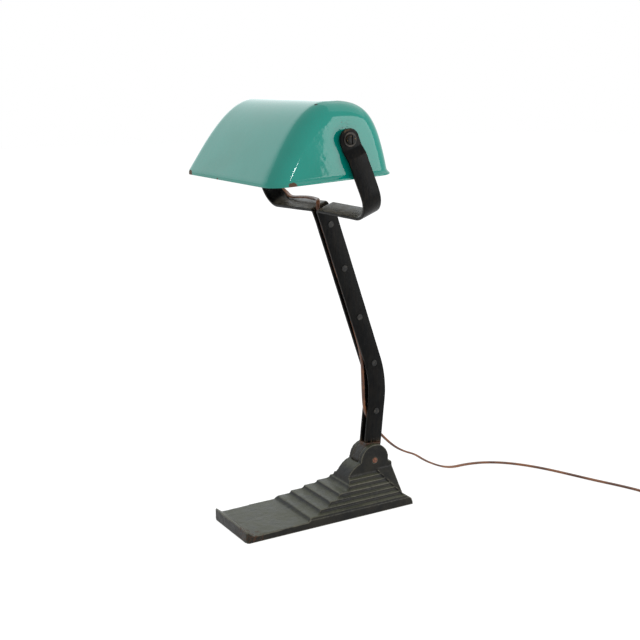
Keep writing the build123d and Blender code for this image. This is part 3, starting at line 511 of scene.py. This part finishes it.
# ---------------------------------------------------------------- mesh helpers
def new_piece(name, vertices, faces, materials, smooth=True):
    """A mesh object from its points and faces, with flat faces where smooth is False."""
    mesh = bpy.data.meshes.new(name)
    mesh.from_pydata([tuple(v) for v in vertices], [], faces)
    mesh.update()
    for material in materials:
        mesh.materials.append(MATERIALS[material])
    if smooth:
        mesh.shade_smooth()
    piece = bpy.data.objects.new(name, mesh)
    bpy.context.scene.collection.objects.link(piece)
    return piece


def apply_modifiers(piece):
    """Make the piece's modifiers part of its mesh."""
    depsgraph = bpy.context.evaluated_depsgraph_get()
    made = bpy.data.meshes.new_from_object(piece.evaluated_get(depsgraph))
    old = piece.data
    piece.modifiers.clear()
    piece.data = made
    bpy.data.meshes.remove(old)


def grid_faces(rows, columns, closed=False):
    """Quads between rows of points that are columns long, joined round where closed."""
    faces = []
    for row in range(rows - 1):
        for column in range(columns if closed else columns - 1):
            following = (column + 1) % columns
            first = row * columns
            second = first + columns
            faces.append((first + column, first + following, second + following, second + column))
    return faces


def directions(line):
    """The unit tangent at each point of a line."""
    last = len(line) - 1
    return [(line[min(i + 1, last)] - line[max(i - 1, 0)]).normalized() for i in range(last + 1)]


def swept(name, line, sides, rings, material):
    """Sweep rings along a line: each ring holds (along its side, along its normal) offsets."""
    vertices = []
    for point, tangent, side, ring in zip(line, directions(line), sides, rings):
        side = (side - side.dot(tangent) * tangent).normalized()
        normal = tangent.cross(side)
        vertices += [point + a * side + b * normal for a, b in ring]
    around = len(rings[0])
    faces = grid_faces(len(line), around, closed=True)
    faces.append(tuple(reversed(range(around))))
    faces.append(tuple(range(len(vertices) - around, len(vertices))))
    piece = new_piece(name, vertices, faces, [material])
    cleaned = bmesh.new()
    cleaned.from_mesh(piece.data)
    bmesh.ops.recalc_face_normals(cleaned, faces=cleaned.faces)
    cleaned.to_mesh(piece.data)
    cleaned.free()
    return piece


# ---------------------------------------------------------------- twin flex
FLEX_WIDTH = 0.0042
FLEX_LOBE = 0.0011
CORE_SPACING = FLEX_WIDTH / 2 - FLEX_LOBE
LOBE_POINTS = 8
LOBE_ARC = 220


def flex_ring():
    """The section of the twin flex: two round cores side by side."""
    ring = []
    for side, middle in ((1, 0), (-1, 180)):
        first = middle - LOBE_ARC // 2
        for step in range(LOBE_POINTS):
            turn = math.radians(first + step * LOBE_ARC / (LOBE_POINTS - 1))
            ring.append((side * CORE_SPACING + FLEX_LOBE * math.cos(turn), FLEX_LOBE * math.sin(turn)))
    return ring


def nurbs_line(points):
    """The smooth line of a NURBS spline with these control points."""
    curve = bpy.data.curves.new("route", "CURVE")
    curve.dimensions = "3D"
    spline = curve.splines.new("NURBS")
    spline.points.add(len(points) - 1)
    for control, point in zip(spline.points, points):
        control.co = (*point, 1)
    spline.order_u = 3
    spline.use_endpoint_u = True
    spline.resolution_u = 8
    route = bpy.data.objects.new("route", curve)
    bpy.context.scene.collection.objects.link(route)
    bpy.context.view_layer.update()
    mesh = bpy.data.meshes.new_from_object(route)
    line = [v.co.copy() for v in mesh.vertices]
    bpy.data.objects.remove(route)
    bpy.data.curves.remove(curve)
    bpy.data.meshes.remove(mesh)
    return line


FREE_ROUTE = [
    (0.0, 0.079, 0.075),
    (-0.0019, 0.088, 0.0656),
    (-0.0055, 0.105, 0.0509),
    (-0.009, 0.1215, 0.0412),
    (-0.0122, 0.137, 0.0346),
    (-0.0156, 0.153, 0.0232),
    (-0.0192, 0.170, 0.0139),
    (-0.0226, 0.186, 0.0066),
    (-0.0262, 0.203, 0.0017),
    (-0.027, 0.224, 0.0013),
    (-0.021, 0.246, 0.0013),
    (-0.007, 0.266, 0.0013),
    (0.013, 0.282, 0.0013),
    (0.037, 0.295, 0.0013),
    (0.063, 0.3055, 0.0013),
    (0.090, 0.316, 0.0013),
    (0.116, 0.328, 0.0013),
    (0.139, 0.3365, 0.0013),
]
ARM_ROUTE = [
    (0, 0.079, 0.075),
    (0, 0.074, 0.082),
    (0, 0.0663, 0.0902),
    (0, 0.0609, 0.101),
    (0, 0.059, 0.118),
    (0, 0.0582, 0.138),
    (0, 0.057, 0.160),
    (0, 0.0484, 0.1895),
    (0, 0.0356, 0.2272),
    (0, 0.0246, 0.2563),
    (0, 0.0152, 0.2836),
    (0, 0.0082, 0.3025),
]
YOKE_ROUTE = [
    (0, -0.0063, -0.010),
    (-0.0004, -0.0052, -0.0015),
    (-0.0026, -0.0016, 0.0036),
    (-0.009, 0.0026, 0.004),
    (-0.018, 0.0056, 0.0026),
    (-0.034, 0.0068, 0.0024),
    (-0.052, 0.0062, 0.0012),
    (-0.068, 0.0062, -0.0006),
    (-0.080, 0.0084, -0.0014),
    (-0.0905, 0.0122, -0.001),
    (-0.0985, 0.0128, 0.002),
    (-0.1035, 0.0112, 0.010),
    (-0.105, 0.0085, 0.024),
    (-0.1058, 0.0045, 0.039),
    (-0.1075, 0.0016, 0.053),
    (-0.1098, 0.0004, 0.064),
    (-0.1088, 0, 0.0726),
]

# The coil: turns in three columns and four layers, as (column, layer) from first to last
COIL_PLACES = [(2, 0), (1, 0), (0, 0), (0, 1), (1, 1), (2, 1), (1, 2), (0, 2), (0, 3), (1, 3), (1, 3)]
COIL_ENTRY = math.radians(-75)
COIL_EXIT = math.radians(60)
COIL_COLUMN_PITCH = 0.0044
COIL_LAYER_PITCH = 0.00235
COIL_FLOOR = 0.0012
POINTS_PER_TURN = 16
TO_NEXT_COLUMN = (0.5, 0.98)
TO_NEXT_LAYER = (0.42, 0.7)
OUT_OF_ROUND = 0.0002
UNEVEN = 0.00005
TIE_TURN = math.radians(-30)
TIE_LIFT = 0.0009
TIE_SPREAD = 0.5
PLUG_OFFSET = 0.022
PLUG_APPROACH = (0.014, 0.020, 0.030)


def eased(value, low, high):
    """0 below low, 1 above high, and smooth between them."""
    share = min(max((value - low) / (high - low), 0), 1)
    return share * share * (3 - 2 * share)


def coil_turns():
    """Control points of the coil's turns, wound from the outside of its lowest layer."""
    low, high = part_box("cord_coil")
    centre = (low + high) / 2
    tie_low, tie_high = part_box("cord_tie")
    middle = (tie_low + tie_high) / 2
    mean_radius = Vector((middle.x - centre.x, middle.y - centre.y)).length
    bulge = 1 / math.cos(math.pi / POINTS_PER_TURN)
    whole = COIL_EXIT - COIL_ENTRY + 2 * math.pi * (len(COIL_PLACES) - 1)
    steps = round(whole / (2 * math.pi) * POINTS_PER_TURN)
    points = []
    for step in range(steps + 1):
        wound = step / steps * whole
        turn_number, share = divmod(wound / (2 * math.pi), 1)
        here = COIL_PLACES[int(turn_number)]
        after = COIL_PLACES[min(int(turn_number) + 1, len(COIL_PLACES) - 1)]
        column = here[0] + (after[0] - here[0]) * eased(share, *TO_NEXT_COLUMN)
        layer = here[1] + (after[1] - here[1]) * eased(share, *TO_NEXT_LAYER)
        turn = COIL_ENTRY + wound
        unround = OUT_OF_ROUND * math.sin(2 * turn + 0.6) + UNEVEN * math.sin(3 * turn)
        radius = (mean_radius + (column - 1) * COIL_COLUMN_PITCH + unround) * bulge
        from_tie = math.remainder(turn - TIE_TURN, 2 * math.pi)
        lift = TIE_LIFT * math.exp(-((from_tie / TIE_SPREAD) ** 2))
        height = COIL_FLOOR + layer * COIL_LAYER_PITCH + lift
        x = centre.x + radius * math.cos(turn)
        y = centre.y + radius * math.sin(turn)
        points.append((x, y, height))
    return points


def into_plug():
    """Control points from the coil's last turn into the plug's strain relief."""
    low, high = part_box("cord_coil")
    centre = (low + high) / 2
    heading = Vector((-math.sin(COIL_EXIT), math.cos(COIL_EXIT), 0))
    off = Vector((math.cos(COIL_EXIT), math.sin(COIL_EXIT), 0))
    plug_low, plug_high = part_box("plug_body")
    axis_height = (plug_low.z + plug_high.z) / 2
    start = Vector((centre.x, centre.y, axis_height)) + PLUG_OFFSET * off
    return [start + distance * heading for distance in PLUG_APPROACH]


def twin_flex(name, line, sides):
    """The twin flex's mesh along a line, with the direction in which it is wide."""
    ring = flex_ring()
    return swept(name, line, sides, [ring] * len(line), "flex")


def make_free_cord():
    """The flex from the back of the arm to its coil and plug behind the foot."""
    line = nurbs_line(FREE_ROUTE + coil_turns() + into_plug())
    sides = [tangent.cross(UP) for tangent in directions(line)]
    cord = twin_flex("mains_flex", line, sides)
    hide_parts("cord_free", "cord_coil")
    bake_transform(cord)


NIPPLE_LEAD = 0.0015
NIPPLE_DEPTH = 0.004
TURNED_ALONG_LEDGE = (0.001, 0.02)
TURNED_ABOVE_ARM = (-0.005, 0.003)


def make_held_flex():
    """The flex between the bars, round the left ledge and up to the nipple."""
    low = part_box("flex_in_arm")[0]
    mouth = Vector((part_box("holder_nipple")[0].x, PIVOT.y, PIVOT.z))
    before = Vector((low.x + NIPPLE_LEAD, PIVOT.y, PIVOT.z))
    inside = mouth + NIPPLE_DEPTH * X_AXIS
    points = ARM_ROUTE + [on_yoke(*place) for place in YOKE_ROUTE] + [before, mouth, inside]
    line = nurbs_line(points)
    sides = []
    for point in line:
        along = eased(-point.x, *TURNED_ALONG_LEDGE)
        above = eased((point - YOKE_ORIGIN).dot(YOKE_UP), *TURNED_ABOVE_ARM)
        sides.append(X_AXIS.lerp(YOKE_BACK, max(along, above)))
    piece = twin_flex("held_flex", line, sides)
    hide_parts("flex_in_arm")
    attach(piece, "arm")


# ---------------------------------------------------------------- bars and yoke
def rounded_path(corners, radii, step):
    """A line through corners, each rounded by an arc of its radius."""
    path = [corners[0]]
    for before, corner, after, radius in zip(corners, corners[1:], corners[2:], radii):
        inwards = (before - corner).normalized()
        outwards = (after - corner).normalized()
        half = inwards.angle(outwards) / 2
        reach = radius / math.tan(half)
        centre = corner + (inwards + outwards).normalized() * radius / math.sin(half)
        start = corner + inwards * reach - centre
        end = corner + outwards * reach - centre
        turn = start.angle(end)
        count = max(5, round(radius * turn / step))
        axis = start.cross(end).normalized()
        for i in range(count + 1):
            path.append(centre + Matrix.Rotation(turn * i / count, 3, axis) @ start)
    path.append(corners[-1])
    return path


def filled(path, step):
    """The same line with more points on its long runs."""
    line = [path[0]]
    for point in path[1:]:
        run = point - line[-1]
        count = max(1, round(run.length / step))
        start = line[-1]
        line += [start + run * (i + 1) / count for i in range(count)]
    return line


def bar_ring(half_width, half_thickness, edge):
    """A flat bar's section with rounded edges."""
    ring = []
    for side, lift, first in ((1, 1, 0), (-1, 1, 90), (-1, -1, 180), (1, -1, 270)):
        for turn in (0, 30, 60, 90):
            angle = math.radians(first + turn)
            a = side * max(half_width - edge, 0) + min(edge, half_width) * math.cos(angle)
            b = lift * (half_thickness - edge) + edge * math.sin(angle)
            ring.append((a, b))
    return ring


ARM_STEP = 0.003
YOKE_ARC_STEP = 0.0012
YOKE_STEP = 0.0025
TIP_STEPS = 12
TIP_NARROWEST = 0.02
BAR_EDGE = 0.0006
BAR_WEAR = 0.00012
BAR_WEAR_SCALE = 90


def make_bar(name, side, ledge_droop, corner_radius):
    """One flat bar: up the arm, out along the ledge and up the strap."""
    middle = side * (BAR_GAP + BAR_THICKNESS) / 2
    ledge_drop = (LEDGE_REACH - abs(middle)) * math.tan(math.radians(ledge_droop))
    half_sheet = BAR_THICKNESS / 2
    straight = YOKE_ORIGIN - YOKE_STRAIGHT * YOKE_UP
    arm_corners = [PIN + BAR_START * LOWER_UP, BEND, straight, on_yoke(0, 0, -FOLD_START)]
    arm_corners = [corner + middle * X_AXIS for corner in arm_corners]
    yoke_corners = [
        (abs(middle), -FOLD_START),
        (abs(middle), -half_sheet),
        (LEDGE_REACH, -half_sheet - ledge_drop),
        (LEDGE_REACH, STRAP_BOW_HEIGHT),
        STRAP_SHOULDER,
        (STRAP_TIP_REACH, STRAP_JOGGLE_HEIGHT),
        (STRAP_TIP_REACH, PIVOT_HEIGHT + BAR_WIDTH / 2),
    ]
    yoke_corners = [on_yoke(side * x, 0, up) for x, up in yoke_corners]
    yoke_radii = [
        FOLD_RADIUS,
        corner_radius,
        STRAP_BOW_RADIUS,
        STRAP_CORNER_RADIUS,
        STRAP_CORNER_RADIUS,
    ]
    arm_radii = [ARM_BEND_RADIUS, YOKE_BEND_RADIUS]
    arm_line = filled(rounded_path(arm_corners, arm_radii, ARM_STEP), ARM_STEP)
    yoke_line = filled(rounded_path(yoke_corners, yoke_radii, YOKE_ARC_STEP), YOKE_STEP)
    tip = yoke_line[-1]
    tip_radius = BAR_WIDTH / 2
    to_tip = [point for point in yoke_line if (point - tip).length > tip_radius]
    for i in range(TIP_STEPS + 1):
        below = tip_radius * math.cos(math.pi / 2 * i / TIP_STEPS)
        to_tip.append(tip - below * YOKE_UP)
    line = arm_line[:-1] + to_tip
    sides = [X_AXIS.cross(tangent) for tangent in directions(arm_line)][:-1]
    sides += [-YOKE_BACK] * len(to_tip)
    rings = []
    for point in line:
        below_tip = BAR_WIDTH
        if (point - tip).length < BAR_WIDTH:
            below_tip = (tip - point).dot(YOKE_UP)
        from_middle = max(1 - below_tip / tip_radius, 0)
        narrowed = math.sqrt(max(1 - from_middle**2, TIP_NARROWEST**2))
        worn = BAR_WEAR * noise.noise(point * BAR_WEAR_SCALE + Vector((side * 5, 0, 0)))
        rings.append(bar_ring(tip_radius * narrowed + worn, half_sheet + worn / 3, BAR_EDGE))
    bar = swept(name, line, sides, rings, "black_bar")
    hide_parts(name.replace("strap_bar", "arm_bar"))
    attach(bar, "arm")


# ---------------------------------------------------------------- shade
def bezier(points, share):
    """A place on a cubic Bezier curve in the shade's side view."""
    rest = 1 - share
    weights = (rest**3, 3 * rest * rest * share, 3 * rest * share * share, share**3)
    s = sum(weight * point[0] for weight, point in zip(weights, points))
    h = sum(weight * point[1] for weight, point in zip(weights, points))
    return Vector((s, h))


APEX = (SHADE_APEX, SHADE_HEIGHT)
FRONT_CURVE = [(-SHADE_FRONT, FLARE_HEIGHT), (-0.0433, 0.033), (-0.0202, SHADE_HEIGHT), APEX]
BACK_CURVE = [APEX, (0.0499, SHADE_HEIGHT), (0.0605, 0.0584), (SHADE_BACK, FLARE_HEIGHT)]
LEAD = 0.006
CURVE_STEPS = 200


def profile(count):
    """Points of the shade's side view from its front to its back, evenly spaced, each with the
    direction into the shade. Both ends run on below the flare's top, to be cut off there."""
    fine = [bezier(FRONT_CURVE, i / CURVE_STEPS) for i in range(CURVE_STEPS)]
    fine += [bezier(BACK_CURVE, i / CURVE_STEPS) for i in range(CURVE_STEPS + 1)]
    fine.insert(0, fine[0] + LEAD * (fine[0] - fine[1]).normalized())
    fine.append(fine[-1] + LEAD * (fine[-1] - fine[-2]).normalized())
    travelled = [0.0]
    for first, second in zip(fine, fine[1:]):
        travelled.append(travelled[-1] + (second - first).length)
    points = []
    at = 0
    for i in range(count):
        wanted = travelled[-1] * i / (count - 1)
        while at < len(fine) - 2 and travelled[at + 1] < wanted:
            at += 1
        share = (wanted - travelled[at]) / (travelled[at + 1] - travelled[at])
        points.append(fine[at].lerp(fine[at + 1], share))
    inwards = []
    for i in range(count):
        along = points[min(i + 1, count - 1)] - points[max(i - 1, 0)]
        inwards.append(Vector((along.y, -along.x)).normalized())
    return points, inwards


PROFILE_POINTS = 97
PANEL_SIDE_POINTS = 25
EDGE_ARC_STEPS = 8
SHADE_COLUMNS = 36
WELD = 0.00005
END_SLOPE = math.tan(math.radians(SHADE_END_DRAFT))


def end_x(h):
    """How far out the end panel is at that height."""
    return SHADE_HALF_WIDTH - (h - FLARE_HEIGHT) * END_SLOPE


def shade_rows():
    """The wrap of the shade: rows along the profile, each from the left end to the right."""
    points, inwards = profile(PROFILE_POINTS)
    rows = []
    for point, inward in zip(points, inwards):
        right = []
        for step in range(EDGE_ARC_STEPS + 1):
            turn = math.pi / 2 * step / EDGE_ARC_STEPS
            place = point + inward * SHADE_EDGE_RADIUS * (1 - math.cos(turn))
            x = end_x(place.y) - SHADE_EDGE_RADIUS * (1 - math.sin(turn))
            right.append((x, place.x, place.y))
        reach = right[0][0]
        row = [(-x, s, h) for x, s, h in reversed(right)]
        for i in range(1, SHADE_COLUMNS):
            row.append((reach * (2 * i / SHADE_COLUMNS - 1), point.x, point.y))
        rows.append(row + right)
    return rows


def panel_grid(border):
    """A grid of (s, h) places that fills an end panel inside its border (a Coons patch)."""
    last = PANEL_SIDE_POINTS - 1
    left = border[: last + 1]
    top = border[last : len(border) - last]
    right = border[len(border) - last - 1 :][::-1]
    across = len(top) - 1
    grid = []
    for row in range(last + 1):
        v = row / last
        line = []
        for column in range(across + 1):
            u = column / across
            bottom = left[0].lerp(right[0], u)
            ruled = left[row].lerp(right[row], u) + bottom.lerp(top[column], v)
            corners = left[0].lerp(right[0], u).lerp(left[last].lerp(right[last], u), v)
            line.append(ruled - corners)
        grid.append(line)
    return grid


def add_sheet(form, rows):
    """Add rows of (x, s, h) places of the shade to a form, joined by quads."""
    sheet = [[form.verts.new(on_shade(*place)) for place in row] for row in rows]
    for first, second in zip(sheet, sheet[1:]):
        for i in range(len(first) - 1):
            form.faces.new((first[i], first[i + 1], second[i + 1], second[i]))


def make_shade():
    """The enamelled shell: wrap, two end panels and the flared rim."""
    rows = shade_rows()
    form = bmesh.new()
    add_sheet(form, rows)
    border = [Vector((row[-1][1], row[-1][2])) for row in rows]
    for side in (1, -1):
        add_sheet(form, [[(side * end_x(p.y), p.x, p.y) for p in line] for line in panel_grid(border)])
    bmesh.ops.remove_doubles(form, verts=form.verts, dist=WELD)
    whole = form.verts[:] + form.edges[:] + form.faces[:]
    flare_top = on_shade(0, 0, FLARE_HEIGHT)
    bmesh.ops.bisect_plane(form, geom=whole, plane_co=flare_top, plane_no=SHADE_UP, clear_inner=True)
    bmesh.ops.remove_doubles(form, verts=form.verts, dist=WELD)
    bmesh.ops.recalc_face_normals(form, faces=form.faces)
    flare(form)
    if sum(face.calc_area() * face.normal.dot(SHADE_UP) for face in form.faces) < 0:
        bmesh.ops.reverse_faces(form, faces=form.faces)
    mesh = bpy.data.meshes.new("shade")
    form.to_mesh(mesh)
    form.free()
    for material in ("green_enamel", "white_enamel"):
        mesh.materials.append(MATERIALS[material])
    mesh.shade_smooth()
    shade = bpy.data.objects.new("enamel_shade", mesh)
    bpy.context.scene.collection.objects.link(shade)
    dent(shade)
    thick = shade.modifiers.new("sheet", "SOLIDIFY")
    thick.thickness = SHADE_SHEET
    thick.offset = -1
    thick.use_even_offset = True
    thick.material_offset = 1
    apply_modifiers(shade)
    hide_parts("shade_shell")
    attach(shade, "shade")


FLARE_ROWS = 6
RIM_ROWS = 3
FLARE_CURL = 1.7


def flare(form):
    """Widen the shade's mouth to its rolled edge."""
    mouth = [edge for edge in form.edges if edge.is_boundary]
    for row in range(1, FLARE_ROWS + RIM_ROWS + 1):
        grown = bmesh.ops.extrude_edge_only(form, edges=mouth)["geom"]
        mouth = [item for item in grown if isinstance(item, bmesh.types.BMEdge) and item.is_boundary]
        ring = {vert for edge in mouth for vert in edge.verts}
        for vert in ring:
            seen = place_in_shade(vert.co)
            if row <= FLARE_ROWS:
                before = flare_out(seen, (row - 1) / FLARE_ROWS)
                step = flare_out(seen, row / FLARE_ROWS) - before
                h = FLARE_HEIGHT + (RIM_EDGE_HEIGHT - FLARE_HEIGHT) * row / FLARE_ROWS
            else:
                step = Vector((0, 0))
                h = RIM_EDGE_HEIGHT * (1 - (row - FLARE_ROWS) / RIM_ROWS)
            vert.co = on_shade(seen.x + step.x, seen.y + step.y, h)


def flare_out(seen, share):
    """How far (x, s) the flare has widened at a share of its depth: on in line with the wall
    above it, and more and more outwards."""
    out = mouth_direction(seen)
    if out.y < 0:
        width = FRONT_FLARE_WIDTH
        first, second = FRONT_CURVE[:2]
    else:
        width = FLARE_WIDTH
        second, first = BACK_CURVE[2:]
    depth = FLARE_HEIGHT - RIM_EDGE_HEIGHT
    lead_s = depth * abs((second[0] - first[0]) / (second[1] - first[1]))
    lead_x = depth * END_SLOPE
    curl = share**FLARE_CURL
    grown_x = lead_x * share + (FLARE_WIDTH - lead_x) * curl
    grown_s = lead_s * share + (width - lead_s) * curl
    return Vector((out.x * grown_x, out.y * grown_s))


def place_in_shade(point):
    """(x, s, h) of a world place in the shade's frame."""
    away = point - SHADE_ORIGIN
    return Vector((away.x, away.dot(SHADE_BACKWARDS), away.dot(SHADE_UP)))


def mouth_direction(seen):
    """Straight out of the shade's rounded mouth, as (x, s)."""
    core_x = SHADE_HALF_WIDTH - SHADE_EDGE_RADIUS
    core_front = -SHADE_FRONT + SHADE_EDGE_RADIUS
    core_back = SHADE_BACK - SHADE_EDGE_RADIUS
    nearest_x = min(max(seen.x, -core_x), core_x)
    nearest_s = min(max(seen.y, core_front), core_back)
    return Vector((seen.x - nearest_x, seen.y - nearest_s)).normalized()


DENT_DEPTH = 0.0003
DENT_SCALE = 22


def dent(shade):
    """Pull the sheet in a little here and there, as pressed and fired steel is."""
    normals = [vertex.normal.copy() for vertex in shade.data.vertices]
    for vertex, normal in zip(shade.data.vertices, normals):
        depth = DENT_DEPTH * (0.5 + 0.5 * noise.noise(vertex.co * DENT_SCALE))
        vertex.co -= depth * normal
    shade.data.update()


# ---------------------------------------------------------------- castings
CAST_SCALE = 160
GRIT_SCALE = 520
GRIT_SHARE = 0.6
FLAT_BOTTOM = 0.0005


def make_casting(name, node, material, body, voxel, rough):
    """A casting's skin: the CAD solid with softened edges and an uneven surface."""
    piece = bpy.data.objects.new(name, frame["nodes"][node].data.copy())
    bpy.context.scene.collection.objects.link(piece)
    remesh = piece.modifiers.new("skin", "REMESH")
    remesh.mode = "VOXEL"
    remesh.voxel_size = voxel
    smooth = piece.modifiers.new("soften", "SMOOTH")
    smooth.iterations = 1
    smooth.factor = 0.5
    apply_modifiers(piece)
    mesh = piece.data
    normals = [vertex.normal.copy() for vertex in mesh.vertices]
    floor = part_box(node)[0].z + FLAT_BOTTOM
    for vertex, normal in zip(mesh.vertices, normals):
        if vertex.co.z > floor:
            height = noise.noise(vertex.co * CAST_SCALE)
            height += GRIT_SHARE * noise.noise(vertex.co * GRIT_SCALE)
            vertex.co += rough * (height - GRIT_SHARE) * normal
    mesh.materials.clear()
    mesh.materials.append(MATERIALS[material])
    mesh.shade_smooth()
    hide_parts(node)
    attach(piece, body)


# ---------------------------------------------------------------- stage and light
FLOOR_SIZE = 12.0
FLOOR_WHITE = (0.9, 0.9, 0.9, 1)
FLOOR_SEEN = (0.26, 0.26, 0.26, 1)
FLOOR_GLOW = 0.9
SKY_LIGHT = 0.6
COOL_WHITE = (0.88, 1, 1.05)


def make_stage():
    """A plain floor, white where it is seen, that keeps a soft shadow."""
    recipe = Recipe("floor")
    rays = recipe.node("ShaderNodeLightPath")
    seen = recipe.math("MAXIMUM", rays.outputs["Is Camera Ray"], rays.outputs["Is Glossy Ray"])
    seen = recipe.math("MAXIMUM", seen, rays.outputs["Is Transmission Ray"])
    recipe.finish(
        Base_Color=recipe.mix(seen, FLOOR_WHITE, FLOOR_SEEN),
        Roughness=0.9,
        Specular_IOR_Level=0.0,
        Emission_Color=(1, 1, 1, 1),
        Emission_Strength=recipe.math("MULTIPLY", seen, FLOOR_GLOW),
    )
    MATERIALS["floor"] = recipe.material
    half = FLOOR_SIZE / 2
    corners = [(-half, -half, 0), (half, -half, 0), (half, half, 0), (-half, half, 0)]
    new_piece("floor", corners, [(0, 1, 2, 3)], ["floor"], smooth=False)


def make_world():
    """Soft light from all round, white where it is seen."""
    world = bpy.data.worlds.new("studio")
    world.use_nodes = True
    bpy.context.scene.world = world
    tree = world.node_tree
    rays = tree.nodes.new("ShaderNodeLightPath").outputs
    seen = rays["Is Camera Ray"]
    for other in ("Is Glossy Ray", "Is Transmission Ray"):
        either = tree.nodes.new("ShaderNodeMath")
        either.operation = "MAXIMUM"
        tree.links.new(seen, either.inputs[0])
        tree.links.new(rays[other], either.inputs[1])
        seen = either.outputs["Value"]
    strength = tree.nodes.new("ShaderNodeMapRange")
    strength.inputs["To Min"].default_value = SKY_LIGHT
    strength.inputs["To Max"].default_value = 1.0
    tree.links.new(seen, strength.inputs["Value"])
    background = tree.nodes["Background"]
    background.inputs["Color"].default_value = (1, 1, 1, 1)
    tree.links.new(strength.outputs["Result"], background.inputs["Strength"])


def area_light(name, place, aim, width, height, power, colour=(1, 1, 1)):
    """A soft box at a place, aimed at a point."""
    data = bpy.data.lights.new(name, "AREA")
    data.shape = "RECTANGLE"
    data.size = width
    data.size_y = height
    data.energy = power
    data.color = colour
    light = bpy.data.objects.new(name, data)
    light.location = place
    light.rotation_euler = (Vector(aim) - Vector(place)).to_track_quat("-Z", "Y").to_euler()
    bpy.context.scene.collection.objects.link(light)


def make_lights():
    """A box overhead, a broad wall at the left, and a window and a small lamp at the right."""
    middle = (0, 0, 0.25)
    area_light("overhead", (-0.1, 1.0, 1.7), middle, 2.0, 1.2, 4.5)
    area_light("left_wall", (-1.94, -0.48, 1.25), (0, 0, 0.9), 4.4, 1.9, 15, COOL_WHITE)
    area_light("right_window", (1.47, 1.25, 0.63), middle, 0.84, 1.36, 11)
    area_light("edge_lamp", (1.91, 0.593, 0.853), (0, 0, 0.4), 0.06, 0.05, 0.5)


# ---------------------------------------------------------------- the whole lamp
bpy.context.scene.view_settings.view_transform = "Standard"
make_camera()
dress_cad_nodes()
make_free_cord()
make_held_flex()
make_bar("strap_bar_right", 1, RIGHT_LEDGE_DROOP, RIGHT_CORNER_RADIUS)
make_bar("strap_bar_left", -1, LEFT_LEDGE_DROOP, LEFT_CORNER_RADIUS)
make_shade()
make_casting("base_skin", "base_casting", "cast_iron", "foot", 0.0008, 0.00012)
make_casting("knuckle_skin", "hinge_knuckle", "rusty_iron", "arm", 0.0005, 0.00008)
make_stage()
make_world()
make_lights()
